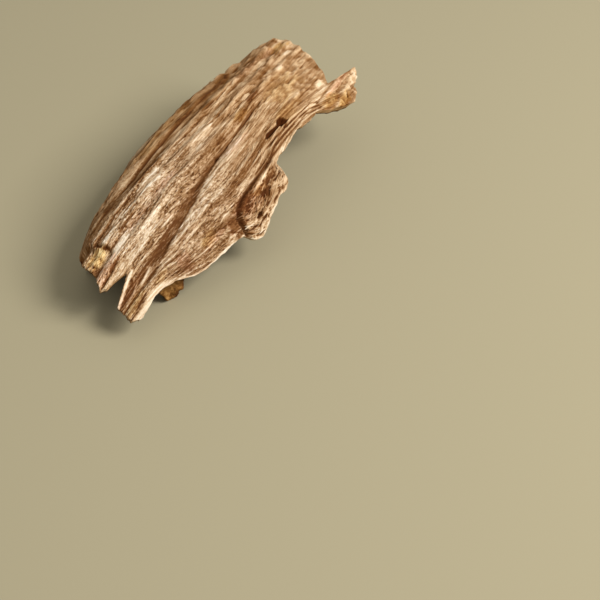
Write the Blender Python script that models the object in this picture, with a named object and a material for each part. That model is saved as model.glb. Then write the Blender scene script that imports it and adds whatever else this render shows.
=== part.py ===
"""A loose piece of agarwood: a hollow, weathered slab of trunk wall, about 12 cm long.

The wood was shelled out from the inside, so what is left is an arched wall whose fibres all run
along +X. The far wall (+Y) curves down to the surface it rests on. The near edge (-Y) is broken
and stands off that surface, on two knobbly feet. The sizes below are in millimetres, in a frame
whose X starts a little before the teeth and whose Z starts at the resting surface.
"""

import math

import bmesh
import bpy
import numpy as np

MM = 0.001
NAME = "agarwood_piece"

# Overall reach along the fibres
TEETH_TIP = 3.0
PRONG_TIP = 124.5
LENGTH = PRONG_TIP - TEETH_TIP

# The point of that frame that becomes the origin: the middle of the box, on the surface
ORIGIN_X = 63.8
ORIGIN_Y = -2.2

# Crest of the arch and its two radii, each as (X, value)
CREST_Y = [(-4, 8.0), (15, 7.0), (40, 4.0), (60, 1.0), (80, 0.0), (126, 0.0)]
CREST_Z = [(-4, 8.0), (5, 11.3), (15, 15.0), (25, 18.4), (40, 22.3), (60, 25.6), (80, 26.5),
           (126, 25.5)]
NEAR_RADIUS = [(-4, 30.0), (25, 27.0), (40, 28.0), (60, 34.0), (80, 38.0), (126, 34.0)]
FAR_RADIUS = [(-4, 4.0), (16, 7.0), (26, 10.0), (36, 13.5), (48, 17.5), (60, 20.0), (80, 21.0),
              (100, 19.0), (126, 16.0)]
PROFILE_SMOOTHING = 5.0

# Rows of the grid: arc length from the crest, towards the far wall (-) and the near edge (+)
FAR_REACH = 42.0
NEAR_REACH = 30.0
FAR_ROWS = 17
NEAR_ROWS = 27
COLUMNS = 50

# How fast the shape of an end and of a side edge dies away into the middle, as powers
END_BLEND = 4
SIDE_BLEND = 2

# The broken near edge, as (X, arc from the crest): teeth, thin rim, lobe, recess and nub
NEAR_EDGE = [
    (3, 18.5), (13, 18.0), (17, 19.5), (21, 22.0), (25, 25.0), (29, 26.0), (41, 28.0),
    (44.5, 29.5), (46.5, 32.5), (49.5, 33.5), (54, 31.0), (59, 29.5), (66, 28.0),
    (67.5, 23.5), (72, 22.0), (84, 21.0), (91, 22.0), (97, 22.0), (101, 24.5),
    (107, 26.8), (112, 28.5), (126, 28.5),
]

# How the fibres run beside that edge
FIBRE_FLOW = [(3, 18.5), (17, 20.5), (29, 26.0), (45, 29.5), (54, 30.0), (66, 26.5), (76, 22.0),
              (84, 21.0), (97, 22.5), (107, 27.0), (126, 28.0)]

# The teeth end, as (arc, X): hidden wall, short tooth, notch and long tooth
TEETH_END = [
    (-42, 20.0), (-20, 19.0), (-8, 16.5), (-2, 10.0), (1, 8.5), (6.5, 5.5), (7.6, 7.0),
    (9.6, 13.5), (10.6, 9.0), (12, 4.4), (17.5, 3.6), (18.5, 5.0),
]

# The other end, as (arc, X): hidden wall, rounded end, corner beside the nub, prong and blunt nub
NUB_END = [
    (-42, 98.0), (-34, 104.0), (-24, 98.5), (-16, 101.5), (-11, 107.0), (-9, 114.0),
    (-5, 120.5), (-1, 121.5), (4, 120.0), (9, 118.0), (13.5, 115.0), (16.5, 113.0),
    (19, 110.5), (20, 116.0), (21.5, 124.5), (23, 123.5), (25, 117.5), (27, 116.0), (28.5, 112.0),
]

# Height of the far wall's lower edge over the surface, as (X, height): below 0 it is cut flat
FAR_EDGE_LIFT = [(16, -0.9), (25, -0.9), (30, 1.6), (40, 0.6), (50, 2.2), (60, 1.2), (66, -0.9),
                 (75, -0.9), (83, 2.6), (90, -0.9), (99, -0.9), (106, 1.4), (126, 3.0)]

# Wall thickness, how much and over what length and width it varies, and how thin its edges are
WALL = 3.5
WALL_VARIATION, VARIATION_LENGTH, VARIATION_WIDTH = 0.5, 11.0, 5.0
NEAR_EDGE_WALL = [(3, 2.8), (18, 2.4), (27, 1.5), (45, 1.5), (50, 2.8), (66, 2.8), (70, 1.7),
                  (94, 1.8), (102, 3.0), (110, 4.4), (126, 4.6)]
EDGE_THINNING = 8.0
FAR_EDGE_WALL = 2.2

# Deepest line of the long groove, and the cleft beside the lobe, as (X, arc), with their sizes
LONG_GROOVE = [(2, 13.0), (23, 15.0), (41, 12.5), (60, 9.0), (74, 7.8), (88, 6.5)]
GROOVE_DEPTH = 1.8
GROOVE_HALF_WIDTH = 2.3
LOBE_CLEFT = [(44, 30.0), (46, 27.5), (51, 22.5), (57, 20.0), (70, 17.0)]
CLEFT_DEPTH = 1.8
CLEFT_HALF_WIDTH = 1.8

# Where the groove fades out and the cleft comes and goes, as X
GROOVE_FADE, GROOVE_END = 66, 90
CLEFT_SPAN = (42, 46, 62, 76)

# Forms that stand over the rest of the outside, with where they rise and fall away: along X, then
# across it as arcs
LOBE_RISE, LOBE_SPAN, LOBE_SIDE = 1.3, (43, 50, 64, 70), (22, 26)
NUB_RISE, NUB_START, NUB_SIDE = 1.2, (97, 104), (17, 22)
DARK_STRANDS_RISE, DARK_STRANDS_SPAN = 1.2, (30, 42, 98.5, 101)
DARK_STRANDS_ARCS = (-26, -22, -10.5, -8)

# A ledge where the outer layer has broken off at the teeth end
BROKEN_LAYER_DROP, BROKEN_LAYER_END, BROKEN_LAYER_ARCS = 1.3, (17.5, 16), (-9, -7.5, 2.5, 4)

# Broad, shallow swells
SWELL_HEIGHT, SWELL_LENGTH, SWELL_WIDTH = 0.35, 22.0, 3.2

# Ridges that run the whole length, as (arc, height, half width), and how they wander
RIDGE_WANDER, RIDGE_WANDER_LENGTH = 1.2, 26.0
RIDGES = [(-30, 0.9, 2.2), (-22, 0.8, 1.8), (-13, 0.9, 1.6), (-4.5, 0.8, 1.5), (0.5, 0.6, 1.3),
          (5.0, 0.7, 1.3), (16.5, 0.6, 1.4), (21.5, 0.5, 1.4)]

# Share of the outside's relief that the hollow's side follows
HOLLOW_FOLLOWS = 0.6

# Lumps under the wall, as (X, arc, length, width, depth)
LUMPS = [(15, 14.0, 4.0, 2.5, 2.2), (31, 21.5, 3.5, 2.5, 2.0), (36, 12.0, 6.0, 3.0, 1.6),
         (52, 2.0, 7.0, 3.5, 1.8), (70, 13.0, 6.0, 3.0, 2.4), (88, 2.0, 8.0, 4.0, 2.0),
         (96, 15.0, 5.0, 3.0, 2.2), (111, 6.0, 6.0, 4.0, 1.8), (45, -14.0, 7.0, 4.0, 1.8),
         (78, -18.0, 8.0, 4.0, 2.0), (102, -12.0, 6.0, 4.0, 2.0), (28, 21.0, 4.0, 3.0, 3.0),
         (62, 19.0, 13.0, 3.5, 5.0)]

# A ring-shaped knot under the lobe
KNOT_X, KNOT_ARC, KNOT_RADIUS, KNOT_RIM, KNOT_DEPTH = 55.0, 24.5, 2.8, 1.2, 2.0

# The knobbly feet under the near side, as (X, Y, half length, half width), cut flat at the surface
FEET = [(22.0, -10.5, 3.6, 3.8), (63.0, -15.0, 5.5, 3.8)]
FOOT_OVERLAP = 0.9
FOOT_FLATNESS = 1.3
FOOT_UNEVENNESS, UNEVENNESS_LENGTH, UNEVENNESS_WIDTH = 0.25, 3.5, 3.0
FOOT_SET_IN = (0.5, 3.5)

# The slit through the wall: its two ends, and the widths at the top and at the underside
SLIT_LOW = (72.5, 15.6)
SLIT_HIGH = (82.5, 16.0)
SLIT_WIDTH, SLIT_EYE, SLIT_FLARE = 0.9, 2.2, 1.7
SLIT_POINT = 1.5
SLIT_REACH_UP, SLIT_REACH_DOWN = 4.0, 9.0

# Slab that stands for the resting surface
SLAB_SIZE = (200.0, 120.0, 10.0)

# Random table behind the noise, and a shift that keeps all places on its positive side
NOISE_TABLE = (97, 89)
NOISE_SHIFT = (31.0, 41.0)


def along(points, x):
    """Read a profile given as (X, value) points, rounded off over PROFILE_SMOOTHING."""
    xs, values = zip(*points)
    shifts = np.linspace(-PROFILE_SMOOTHING, PROFILE_SMOOTHING, 11)
    return np.mean([np.interp(x + shift, xs, values) for shift in shifts], axis=0)


def sharp(points, x):
    """Read an outline given as points, corners and all."""
    xs, values = zip(*points)
    return np.interp(x, xs, values)


def step(low, high, value):
    """Go smoothly from 0 at low to 1 at high."""
    t = np.clip((value - low) / (high - low), 0.0, 1.0)
    return t * t * (3.0 - 2.0 * t)


def span(value, start, full, fade, end):
    """Rise smoothly from start to full, and fall away again from fade to end."""
    return step(start, full, value) * step(end, fade, value)


def bump(distance, half_width):
    """A rounded bump of height 1 that has gone at about twice its half width."""
    return np.exp(-(distance / half_width) ** 2)


def grain_noise(x, arc, length, width, seed):
    """Smooth noise between -1 and 1, stretched along the fibres."""
    table = np.random.default_rng(seed).uniform(-1.0, 1.0, NOISE_TABLE)
    u = x / length + NOISE_SHIFT[0]
    v = arc / width + NOISE_SHIFT[1]
    i = np.floor(u).astype(int)
    j = np.floor(v).astype(int)
    s = step(0.0, 1.0, u - i)
    t = step(0.0, 1.0, v - j)
    i, i_next = i % NOISE_TABLE[0], (i + 1) % NOISE_TABLE[0]
    j, j_next = j % NOISE_TABLE[1], (j + 1) % NOISE_TABLE[1]
    near = table[i, j] * (1 - s) + table[i_next, j] * s
    far = table[i, j_next] * (1 - s) + table[i_next, j_next] * s
    return near * (1 - t) + far * t


def arch(x, arc):
    """Point of the plain arched surface at a place along the fibres and an arc from the crest."""
    crest_y = along(CREST_Y, x)
    crest_z = along(CREST_Z, x)
    near_radius = along(NEAR_RADIUS, x)
    far_radius = along(FAR_RADIUS, x)
    near_turn = np.maximum(arc, 0.0) / near_radius
    far_turn = np.maximum(-arc, 0.0) / far_radius
    straight_down = np.maximum(far_turn - math.pi / 2, 0.0) * far_radius
    far_turn = np.minimum(far_turn, math.pi / 2)
    y = crest_y - near_radius * np.sin(near_turn) + far_radius * np.sin(far_turn)
    z = crest_z - near_radius * (1 - np.cos(near_turn)) - far_radius * (1 - np.cos(far_turn))
    return np.stack([x, y, z - straight_down], axis=-1)


def arch_normal(x, arc):
    """Outward direction of the arch."""
    d = 0.5
    along_fibres = arch(x + d, arc) - arch(x - d, arc)
    across = arch(x, arc + d) - arch(x, arc - d)
    normal = np.cross(across, along_fibres)
    return normal / np.linalg.norm(normal, axis=-1, keepdims=True)


def far_edge_arc(x):
    """Arc at which the far wall ends, its lift over the surface taken off."""
    far_radius = along(FAR_RADIUS, x)
    drop = along(CREST_Z, x) - far_radius - sharp(FAR_EDGE_LIFT, x)
    return far_radius * math.pi / 2 + drop


def fibre_line(x, arc):
    """The fibre that passes a place: its arc where the wall is widest."""
    flow = along(FIBRE_FLOW, x)
    k = (flow - NEAR_REACH) / NEAR_REACH ** 2
    k = np.where(np.abs(k) < 1e-5, 1e-5, k)
    root = np.sqrt(np.maximum(1.0 + 4.0 * k * arc, 0.01))
    return np.where(arc > 0.0, (root - 1.0) / (2.0 * k), arc)


def outline(column, row):
    """Place (X, arc) of a grid point, from its column and row on a plain rectangle."""
    t = (column - TEETH_TIP) / LENGTH
    near = (np.maximum(row, 0.0) / NEAR_REACH) ** SIDE_BLEND
    far = (np.maximum(-row, 0.0) / FAR_REACH) ** SIDE_BLEND
    teeth_arc = row + (sharp(NEAR_EDGE, TEETH_TIP) - NEAR_REACH) * near
    nub_arc = row + (sharp(NEAR_EDGE, PRONG_TIP) - NEAR_REACH) * near
    start = sharp(TEETH_END, teeth_arc) - TEETH_TIP
    end = sharp(NUB_END, nub_arc) - PRONG_TIP
    x = column + start * (1.0 - t) ** END_BLEND + end * t ** END_BLEND
    arc = row + (sharp(NEAR_EDGE, x) - NEAR_REACH) * near + (FAR_REACH - far_edge_arc(x)) * far
    return x, arc


def outer_relief(x, arc):
    """Height of the weathered outside over the plain arch."""
    fibre = fibre_line(x, arc)
    height = SWELL_HEIGHT * grain_noise(x, fibre, SWELL_LENGTH, SWELL_WIDTH, seed=3)
    for ridge_arc, ridge_height, half_width in RIDGES:
        wander = RIDGE_WANDER * grain_noise(x, ridge_arc + 0 * x, RIDGE_WANDER_LENGTH, 1.0, seed=11)
        height += ridge_height * bump(fibre - ridge_arc - wander, half_width)
    groove = bump(arc - along(LONG_GROOVE, x), GROOVE_HALF_WIDTH) * step(GROOVE_END, GROOVE_FADE, x)
    cleft = bump(arc - along(LOBE_CLEFT, x), CLEFT_HALF_WIDTH) * span(x, *CLEFT_SPAN)
    lobe = span(x, *LOBE_SPAN) * step(*LOBE_SIDE, arc)
    nub = step(*NUB_START, x) * step(*NUB_SIDE, arc)
    dark_strands = span(x, *DARK_STRANDS_SPAN) * span(arc, *DARK_STRANDS_ARCS)
    broken_layer = step(*BROKEN_LAYER_END, x) * span(arc, *BROKEN_LAYER_ARCS)
    height += LOBE_RISE * lobe + NUB_RISE * nub + DARK_STRANDS_RISE * dark_strands
    height -= GROOVE_DEPTH * groove + CLEFT_DEPTH * cleft + BROKEN_LAYER_DROP * broken_layer
    return height


def wall_thickness(x, arc, row):
    """Distance from the outside to the hollow, lumps left out."""
    near_wall = along(NEAR_EDGE_WALL, x)
    to_near_edge = step(0.0, EDGE_THINNING, sharp(NEAR_EDGE, x) - arc)
    to_far_edge = step(0.0, EDGE_THINNING, FAR_REACH + row)
    wall = near_wall + (WALL - near_wall) * to_near_edge
    wall -= (WALL - FAR_EDGE_WALL) * (1.0 - to_far_edge)
    variation = WALL_VARIATION * grain_noise(x, arc, VARIATION_LENGTH, VARIATION_WIDTH, seed=21)
    return wall + variation * to_near_edge


def lump_depth(x, arc):
    """How far the lumps and the ring-shaped knot hang into the hollow."""
    depth = 0.0 * x
    for lump_x, lump_arc, length, width, lump in LUMPS:
        depth += lump * np.exp(-((x - lump_x) / length) ** 2 - ((arc - lump_arc) / width) ** 2)
    from_knot = np.hypot(x - KNOT_X, arc - KNOT_ARC)
    return depth + KNOT_DEPTH * bump(from_knot - KNOT_RADIUS, KNOT_RIM)


def foot_drop(points, to_near_edge):
    """How far the underside is drawn down to the surface, where the feet stand."""
    share = 0.0 * points[:, 0]
    for foot_x, foot_y, half_length, half_width in FEET:
        along_foot = (points[:, 0] - foot_x) / half_length
        across_foot = (points[:, 1] - foot_y) / half_width
        noise = grain_noise(points[:, 0], points[:, 1], UNEVENNESS_LENGTH, UNEVENNESS_WIDTH, seed=31)
        share += np.exp(-(np.hypot(along_foot, across_foot) + FOOT_UNEVENNESS * noise) ** 3)
    share = np.minimum(FOOT_FLATNESS * share, 1.0)
    return (points[:, 2] + FOOT_OVERLAP) * share * step(*FOOT_SET_IN, to_near_edge)


def bend_wall(column, row, is_inside):
    """Take points of a flat board to their place on the arched wall."""
    x, arc = outline(column, row)
    surface = arch(x, arc)
    normal = arch_normal(x, arc)
    relief = outer_relief(x, arc)
    depth = wall_thickness(x, arc, row) + lump_depth(x, arc) - HOLLOW_FOLLOWS * relief
    outside = surface + normal * relief[:, None]
    inside = surface - normal * depth[:, None]
    inside[:, 2] -= foot_drop(inside, sharp(NEAR_EDGE, x) - arc)
    return np.where(is_inside[:, None], inside, outside)


def new_mesh_object(name, mesh_builder, collection):
    """Make an object from a bmesh, in a collection."""
    mesh = bpy.data.meshes.new(name)
    mesh_builder.to_mesh(mesh)
    mesh_builder.free()
    thing = bpy.data.objects.new(name, mesh)
    collection.objects.link(thing)
    return thing


def to_frame(points):
    """Millimetres of the working frame to metres about the origin."""
    return (points - np.array([ORIGIN_X, ORIGIN_Y, 0.0])) * MM


def build_wall(collection):
    """The wall: a flat board of grid cells, bent to the arch."""
    rows = np.concatenate([
        np.linspace(-FAR_REACH, 0.0, FAR_ROWS, endpoint=False),
        np.linspace(0.0, NEAR_REACH, NEAR_ROWS + 1),
    ])
    columns = np.linspace(TEETH_TIP, PRONG_TIP, COLUMNS + 1)
    board = bmesh.new()
    bmesh.ops.create_grid(board, x_segments=COLUMNS, y_segments=len(rows) - 1, size=0.5)
    for vertex in board.verts:
        column = round((vertex.co.x + 0.5) * COLUMNS)
        row = round((vertex.co.y + 0.5) * (len(rows) - 1))
        vertex.co = (columns[column], -rows[row], 0.0)
    bmesh.ops.solidify(board, geom=board.faces[:], thickness=1.0)
    flat = np.array([vertex.co for vertex in board.verts])
    middle = (flat[:, 2].min() + flat[:, 2].max()) / 2
    bent = to_frame(bend_wall(flat[:, 0], -flat[:, 1], flat[:, 2] < middle))
    for vertex, place in zip(board.verts, bent):
        vertex.co = place
    bmesh.ops.triangulate(board, faces=board.faces[:])
    bmesh.ops.recalc_face_normals(board, faces=board.faces[:])
    return new_mesh_object(NAME, board, collection)


def build_slit_cutter(collection):
    """A wedge along the fibres with a round eye at one end, wider towards the hollow."""
    ends = np.array([SLIT_LOW, SLIT_HIGH])
    middle = ends.mean(axis=0)
    centre = to_frame(arch(*middle[:, None])[0])
    up = arch_normal(*middle[:, None])[0]
    low, high = [to_frame(arch(*end[:, None])[0]) for end in ends]
    forward = (high - low) / np.linalg.norm(high - low)
    side = np.cross(up, forward)
    length = np.linalg.norm(high - low) / MM
    outline_points = slit_outline(length)
    cutter = bmesh.new()
    bottom = []
    top = []
    for u, v in outline_points:
        flat = forward * u * MM
        low_place = centre + flat + side * v * SLIT_FLARE * MM - up * SLIT_REACH_DOWN * MM
        high_place = centre + flat + side * v * MM + up * SLIT_REACH_UP * MM
        bottom.append(cutter.verts.new(low_place))
        top.append(cutter.verts.new(high_place))
    count = len(bottom)
    cutter.faces.new(top)
    cutter.faces.new(bottom[::-1])
    for i in range(count):
        j = (i + 1) % count
        cutter.faces.new([bottom[i], bottom[j], top[j], top[i]])
    bmesh.ops.recalc_face_normals(cutter, faces=cutter.faces[:])
    thing = new_mesh_object("slit_cutter", cutter, collection)
    thing.hide_render = True
    thing.display_type = "WIRE"
    return thing


def slit_outline(length):
    """Outline of the slit, along (u) and across (v): a point, two sides and a round eye."""
    eye_radius = SLIT_EYE / 2
    eye_centre = length / 2 - eye_radius
    neck = math.asin(SLIT_WIDTH / SLIT_EYE)
    points = [(-length / 2, 0.0), (-length / 2 + SLIT_POINT, -SLIT_WIDTH / 2)]
    for turn in np.linspace(math.pi + neck, 3 * math.pi - neck, 9):
        points.append((eye_centre + eye_radius * math.cos(turn), eye_radius * math.sin(turn)))
    points.append((-length / 2 + SLIT_POINT, SLIT_WIDTH / 2))
    return points


def build_surface_cutter(collection):
    """A slab below the resting surface, which cuts the foot and the far edge flat."""
    length, width, depth = [size * MM for size in SLAB_SIZE]
    slab = bmesh.new()
    bmesh.ops.create_cube(slab, size=1.0)
    bmesh.ops.scale(slab, vec=(length, width, depth), verts=slab.verts)
    bmesh.ops.translate(slab, vec=(0.0, 0.0, -depth / 2), verts=slab.verts)
    thing = new_mesh_object("surface_cutter", slab, collection)
    thing.hide_render = True
    thing.display_type = "WIRE"
    return thing


def cut(thing, cutter):
    """Take a cutter's form out of a thing with a live Boolean modifier."""
    modifier = thing.modifiers.new(cutter.name, "BOOLEAN")
    modifier.operation = "DIFFERENCE"
    modifier.solver = "EXACT"
    modifier.object = cutter


def weathered_wood():
    """Pale, weathered wood."""
    material = bpy.data.materials.new("weathered_wood")
    material.use_nodes = True
    shader = material.node_tree.nodes["Principled BSDF"]
    shader.inputs["Base Color"].default_value = (0.46, 0.32, 0.20, 1.0)
    shader.inputs["Roughness"].default_value = 0.75
    shader.inputs["Metallic"].default_value = 0.0
    return material


def main():
    for thing in list(bpy.data.objects):
        bpy.data.objects.remove(thing, do_unlink=True)
    parts = bpy.data.collections.new("agarwood")
    cutters = bpy.data.collections.new("cutters")
    bpy.context.scene.collection.children.link(parts)
    bpy.context.scene.collection.children.link(cutters)
    wall = build_wall(parts)
    cut(wall, build_slit_cutter(cutters))
    cut(wall, build_surface_cutter(cutters))
    wall.data.materials.append(weathered_wood())
    wall.data.shade_smooth()
    wall.data.set_sharp_from_angle(angle=math.radians(35.0))


main()
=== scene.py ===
# %% [markdown]
# # A loose piece of agarwood
#
# Agarwood is a pale, light wood that turns brown and heavy wherever the tree has answered a wound
# with resin. A piece is sold with the pale wood carved and rotted away, so what is left is a thin,
# arched wall whose fibres stand up as ridges, with broken ends and a spongy underside.
#
# Such a thing could be sculpted by hand, or made by piling noise on a block. Here the solid model
# already gives the arch, the teeth and the lobe as plain functions, so this script uses the same
# functions on a far finer grid and adds to them what weather does to wood.

# %% Load the solid model
import math
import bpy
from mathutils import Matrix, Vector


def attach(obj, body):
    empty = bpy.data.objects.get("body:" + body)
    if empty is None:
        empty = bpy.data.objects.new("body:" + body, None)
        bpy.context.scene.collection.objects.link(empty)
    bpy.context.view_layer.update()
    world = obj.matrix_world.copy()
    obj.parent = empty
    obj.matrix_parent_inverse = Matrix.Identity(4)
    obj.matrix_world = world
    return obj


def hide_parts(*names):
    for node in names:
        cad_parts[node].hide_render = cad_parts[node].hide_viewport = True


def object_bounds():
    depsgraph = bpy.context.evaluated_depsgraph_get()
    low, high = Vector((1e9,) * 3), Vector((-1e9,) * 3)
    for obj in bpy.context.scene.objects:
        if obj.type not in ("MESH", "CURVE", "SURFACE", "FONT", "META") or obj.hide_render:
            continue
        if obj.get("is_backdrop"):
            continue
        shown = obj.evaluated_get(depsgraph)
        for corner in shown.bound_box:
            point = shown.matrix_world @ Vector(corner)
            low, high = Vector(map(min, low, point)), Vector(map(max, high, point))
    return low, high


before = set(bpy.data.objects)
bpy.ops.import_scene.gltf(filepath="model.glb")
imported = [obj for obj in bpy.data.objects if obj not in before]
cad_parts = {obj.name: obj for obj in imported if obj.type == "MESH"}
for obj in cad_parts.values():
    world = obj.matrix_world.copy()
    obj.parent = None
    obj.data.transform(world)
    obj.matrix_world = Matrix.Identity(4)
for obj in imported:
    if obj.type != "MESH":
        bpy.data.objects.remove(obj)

from types import SimpleNamespace

import bmesh
import bpy
import numpy as np
from mathutils import Vector, noise

CAD_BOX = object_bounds()
NODE = "agarwood_piece"
MM = 0.001
print("The solid is", [round(size / MM, 1) for size in CAD_BOX[1] - CAD_BOX[0]], "mm")

# %% [markdown]
# ## Small helpers
#
# The shape is worked out in millimetres, in a frame whose X runs along the fibres and starts a
# little before the teeth, and whose Z starts at the surface. A place on the wall is given by X and
# by its arc, the distance from the crest of the arch measured over the surface: negative towards
# the far wall, positive towards the broken near edge. numpy works on all places at once.

# %% Profiles, steps and bumps
PROFILE_SMOOTHING, PROFILE_SAMPLES = 5.0, 11


def along(points, x):
    """Read a profile given as (X, value) points, rounded off over PROFILE_SMOOTHING."""
    xs, values = zip(*points)
    shifts = np.linspace(-PROFILE_SMOOTHING, PROFILE_SMOOTHING, PROFILE_SAMPLES)
    return np.mean([np.interp(x + shift, xs, values) for shift in shifts], axis=0)


def sharp(points, x):
    """Read an outline given as points, corners and all."""
    xs, values = zip(*points)
    return np.interp(x, xs, values)


def step(low, high, value):
    """Go smoothly from 0 at low to 1 at high."""
    t = np.clip((value - low) / (high - low), 0.0, 1.0)
    return t * t * (3.0 - 2.0 * t)


def span(value, start, full, fade, end):
    """Rise smoothly from start to full, and fall away again from fade to end."""
    return step(start, full, value) * step(end, fade, value)


def bump(distance, half_width):
    """A rounded bump of height 1 that has gone at about twice its half width."""
    return np.exp(-(distance / half_width) ** 2)


def blend(first, second, share):
    """First where share is 0, second where it is 1."""
    return first + (second - first) * share


def mixed(shares, *parts):
    """Sum of these parts, each times its share."""
    return sum(share * part for share, part in zip(shares, parts))


def from_line(x, arc, points):
    """Distance from a place to a line through these points."""
    nearest = np.inf
    for (start_x, start_arc), (end_x, end_arc) in zip(points, points[1:]):
        run_x, run_arc = end_x - start_x, end_arc - start_arc
        share = ((x - start_x) * run_x + (arc - start_arc) * run_arc) / (run_x ** 2 + run_arc ** 2)
        share = np.clip(share, 0.0, 1.0)
        off_x, off_arc = x - start_x - share * run_x, arc - start_arc - share * run_arc
        nearest = np.minimum(nearest, np.hypot(off_x, off_arc))
    return nearest


print("A quarter of the way, a step is at", step(0.0, 1.0, 0.25))


# %% [markdown]
# ## Two kinds of noise
#
# The first noise is a plain one, stretched along the fibres, and it is the same as in the solid
# model, so both have the same swells. The second is made for wood: each fibre strand is a line of
# random heights with a shift of its own, so that no two neighbours are thick at the same place.
# The seam between two strands is short, so that they stay apart as fibres do.

# %% Plain noise and strand noise
NOISE_TABLE = (97, 89)
NOISE_SHIFT = (31.0, 41.0)
STRANDS, PLACES = 211, 127
STRAND_SEAM = (0.15, 0.85)


def grain_noise(x, arc, length, width, seed):
    """Smooth noise between -1 and 1, stretched along the fibres."""
    table = np.random.default_rng(seed).uniform(-1.0, 1.0, NOISE_TABLE)
    u = x / length + NOISE_SHIFT[0]
    v = arc / width + NOISE_SHIFT[1]
    i = np.floor(u).astype(int)
    j = np.floor(v).astype(int)
    s = step(0.0, 1.0, u - i)
    t = step(0.0, 1.0, v - j)
    i, i_next = i % NOISE_TABLE[0], (i + 1) % NOISE_TABLE[0]
    j, j_next = j % NOISE_TABLE[1], (j + 1) % NOISE_TABLE[1]
    near = table[i, j] * (1 - s) + table[i_next, j] * s
    far = table[i, j_next] * (1 - s) + table[i_next, j_next] * s
    return near * (1 - t) + far * t


def strands(x, across, length, width, seed):
    """Noise between 0 and 1 made of strands side by side, each with its own thick and thin runs."""
    rng = np.random.default_rng(seed)
    heights = rng.uniform(0.0, 1.0, (STRANDS, PLACES))
    shifts = rng.uniform(0.0, PLACES, STRANDS)
    v = across / width + STRANDS
    j = np.floor(v).astype(int)
    sides = []
    for strand in (j % STRANDS, (j + 1) % STRANDS):
        u = x / length + PLACES + shifts[strand]
        i = np.floor(u).astype(int)
        share = step(0.0, 1.0, u - i)
        sides.append(blend(heights[strand, i % PLACES], heights[strand, (i + 1) % PLACES], share))
    return blend(sides[0], sides[1], step(*STRAND_SEAM, v - j))


def summed(noise_kind, x, across, layers):
    """Sum of noises of one kind, given as (share, length, width, seed)."""
    return sum(share * noise_kind(x, across, *layer) for share, *layer in layers)


print("Strand noise along a fibre:", np.round(strands(np.arange(6.0), np.zeros(6), 3.0, 0.5, seed=1), 2))


# %% [markdown]
# ## The arch and its outline
#
# These are the main forms. The crest line, the two radii of the arch and the thickness of the wall
# are the solid model's own values. The broken outline has the solid's corners and some more, which
# a coarse grid couldn't hold. A plain rectangle of columns and rows is laid over the wall, and its
# sides are bent to the outline: broad curves reach far into the wall, sharp corners only a little.

# %% Values of the main forms
TEETH_TIP = 3.0
PRONG_TIP = 124.5
LENGTH = PRONG_TIP - TEETH_TIP
ORIGIN_X = 63.8
ORIGIN_Y = -2.2
FAR_REACH = 42.0
NEAR_REACH = 30.0
END_BLEND = 4
SIDE_BLEND = 2
CORNER_BLEND = 4
CREST_Y = [(-4, 8.0), (15, 7.0), (40, 4.0), (60, 1.0), (80, 0.0), (126, 0.0)]
CREST_Z = [(-4, 8.0), (5, 11.3), (15, 15.0), (25, 18.4), (40, 22.3), (60, 25.6), (80, 26.5),
           (126, 25.5)]
NEAR_RADIUS = [(-4, 30.0), (25, 27.0), (40, 28.0), (60, 34.0), (80, 38.0), (126, 34.0)]
FAR_RADIUS = [(-4, 4.0), (16, 7.0), (26, 10.0), (36, 13.5), (48, 17.5), (60, 20.0), (80, 21.0),
              (100, 19.0), (126, 16.0)]
NEAR_EDGE = [
    (3, 18.8), (8, 19.6), (13, 19.4), (17, 20.2), (21, 22.3), (25, 25.2), (29, 26.8), (36, 28.2),
    (41, 28.6), (44.5, 29.5), (46.5, 32.6), (49.5, 33.8), (54, 31.5), (57.5, 30.3), (60.5, 29.3),
    (63.2, 29.5), (65.6, 28.8), (66.5, 27.4), (67.0, 25.0), (67.6, 22.6), (72, 22.0), (84, 21.0),
    (91, 22.0), (97, 22.0), (101, 24.5), (107, 26.8), (112, 28.5), (126, 28.5),
]
FIBRE_FLOW = [(3, 18.5), (17, 20.5), (29, 26.0), (45, 29.5), (54, 30.0), (66, 26.5), (76, 22.0),
              (84, 21.0), (97, 22.5), (107, 27.0), (126, 28.0)]
TEETH_END = [
    (-42, 23.0), (-20, 21.5), (-12, 16.6), (-8, 13.0), (-5, 11.8), (-2, 10.6), (1, 9.4), (2.6, 8.6),
    (6.0, 5.2), (7.2, 6.6), (8.2, 10.0), (8.9, 11.8), (9.5, 13.2), (10.1, 11.4), (10.8, 9.0),
    (12, 4.2), (17.5, 3.1), (18.6, 4.6),
]
NUB_END = [
    (-42, 98.0), (-34, 104.0), (-24, 98.5), (-16, 101.5), (-11, 107.0), (-9, 114.0),
    (-5, 120.5), (-1, 121.5), (4, 120.0), (9, 118.0), (13.5, 115.0), (16.5, 113.0),
    (19, 110.5), (20, 116.0), (21.5, 124.5), (23, 123.5), (25, 117.5), (27, 116.0), (28.5, 112.0),
]
FAR_EDGE_LIFT = [(16, -0.9), (25, -0.9), (30, 1.6), (40, 0.6), (50, 2.2), (60, 1.2), (66, -0.9),
                 (75, -0.9), (83, 2.6), (90, -0.9), (99, -0.9), (106, 1.4), (126, 3.0)]
WALL = 3.5
WALL_VARIATION, VARIATION_LENGTH, VARIATION_WIDTH = 0.5, 11.0, 5.0
NEAR_EDGE_WALL = [(3, 2.8), (18, 2.4), (27, 1.5), (45, 1.5), (50, 2.8), (66, 2.8), (70, 1.7),
                  (94, 1.8), (102, 3.0), (110, 4.4), (126, 4.6)]
EDGE_THINNING = 8.0
FAR_EDGE_WALL = 2.2
print("The teeth and the nub are", LENGTH, "mm apart")


# %% The arched surface and the far edge of the wall
NORMAL_REACH = 0.5
STRAIGHT, SMALLEST_SQUARE = 1e-5, 0.01


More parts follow.
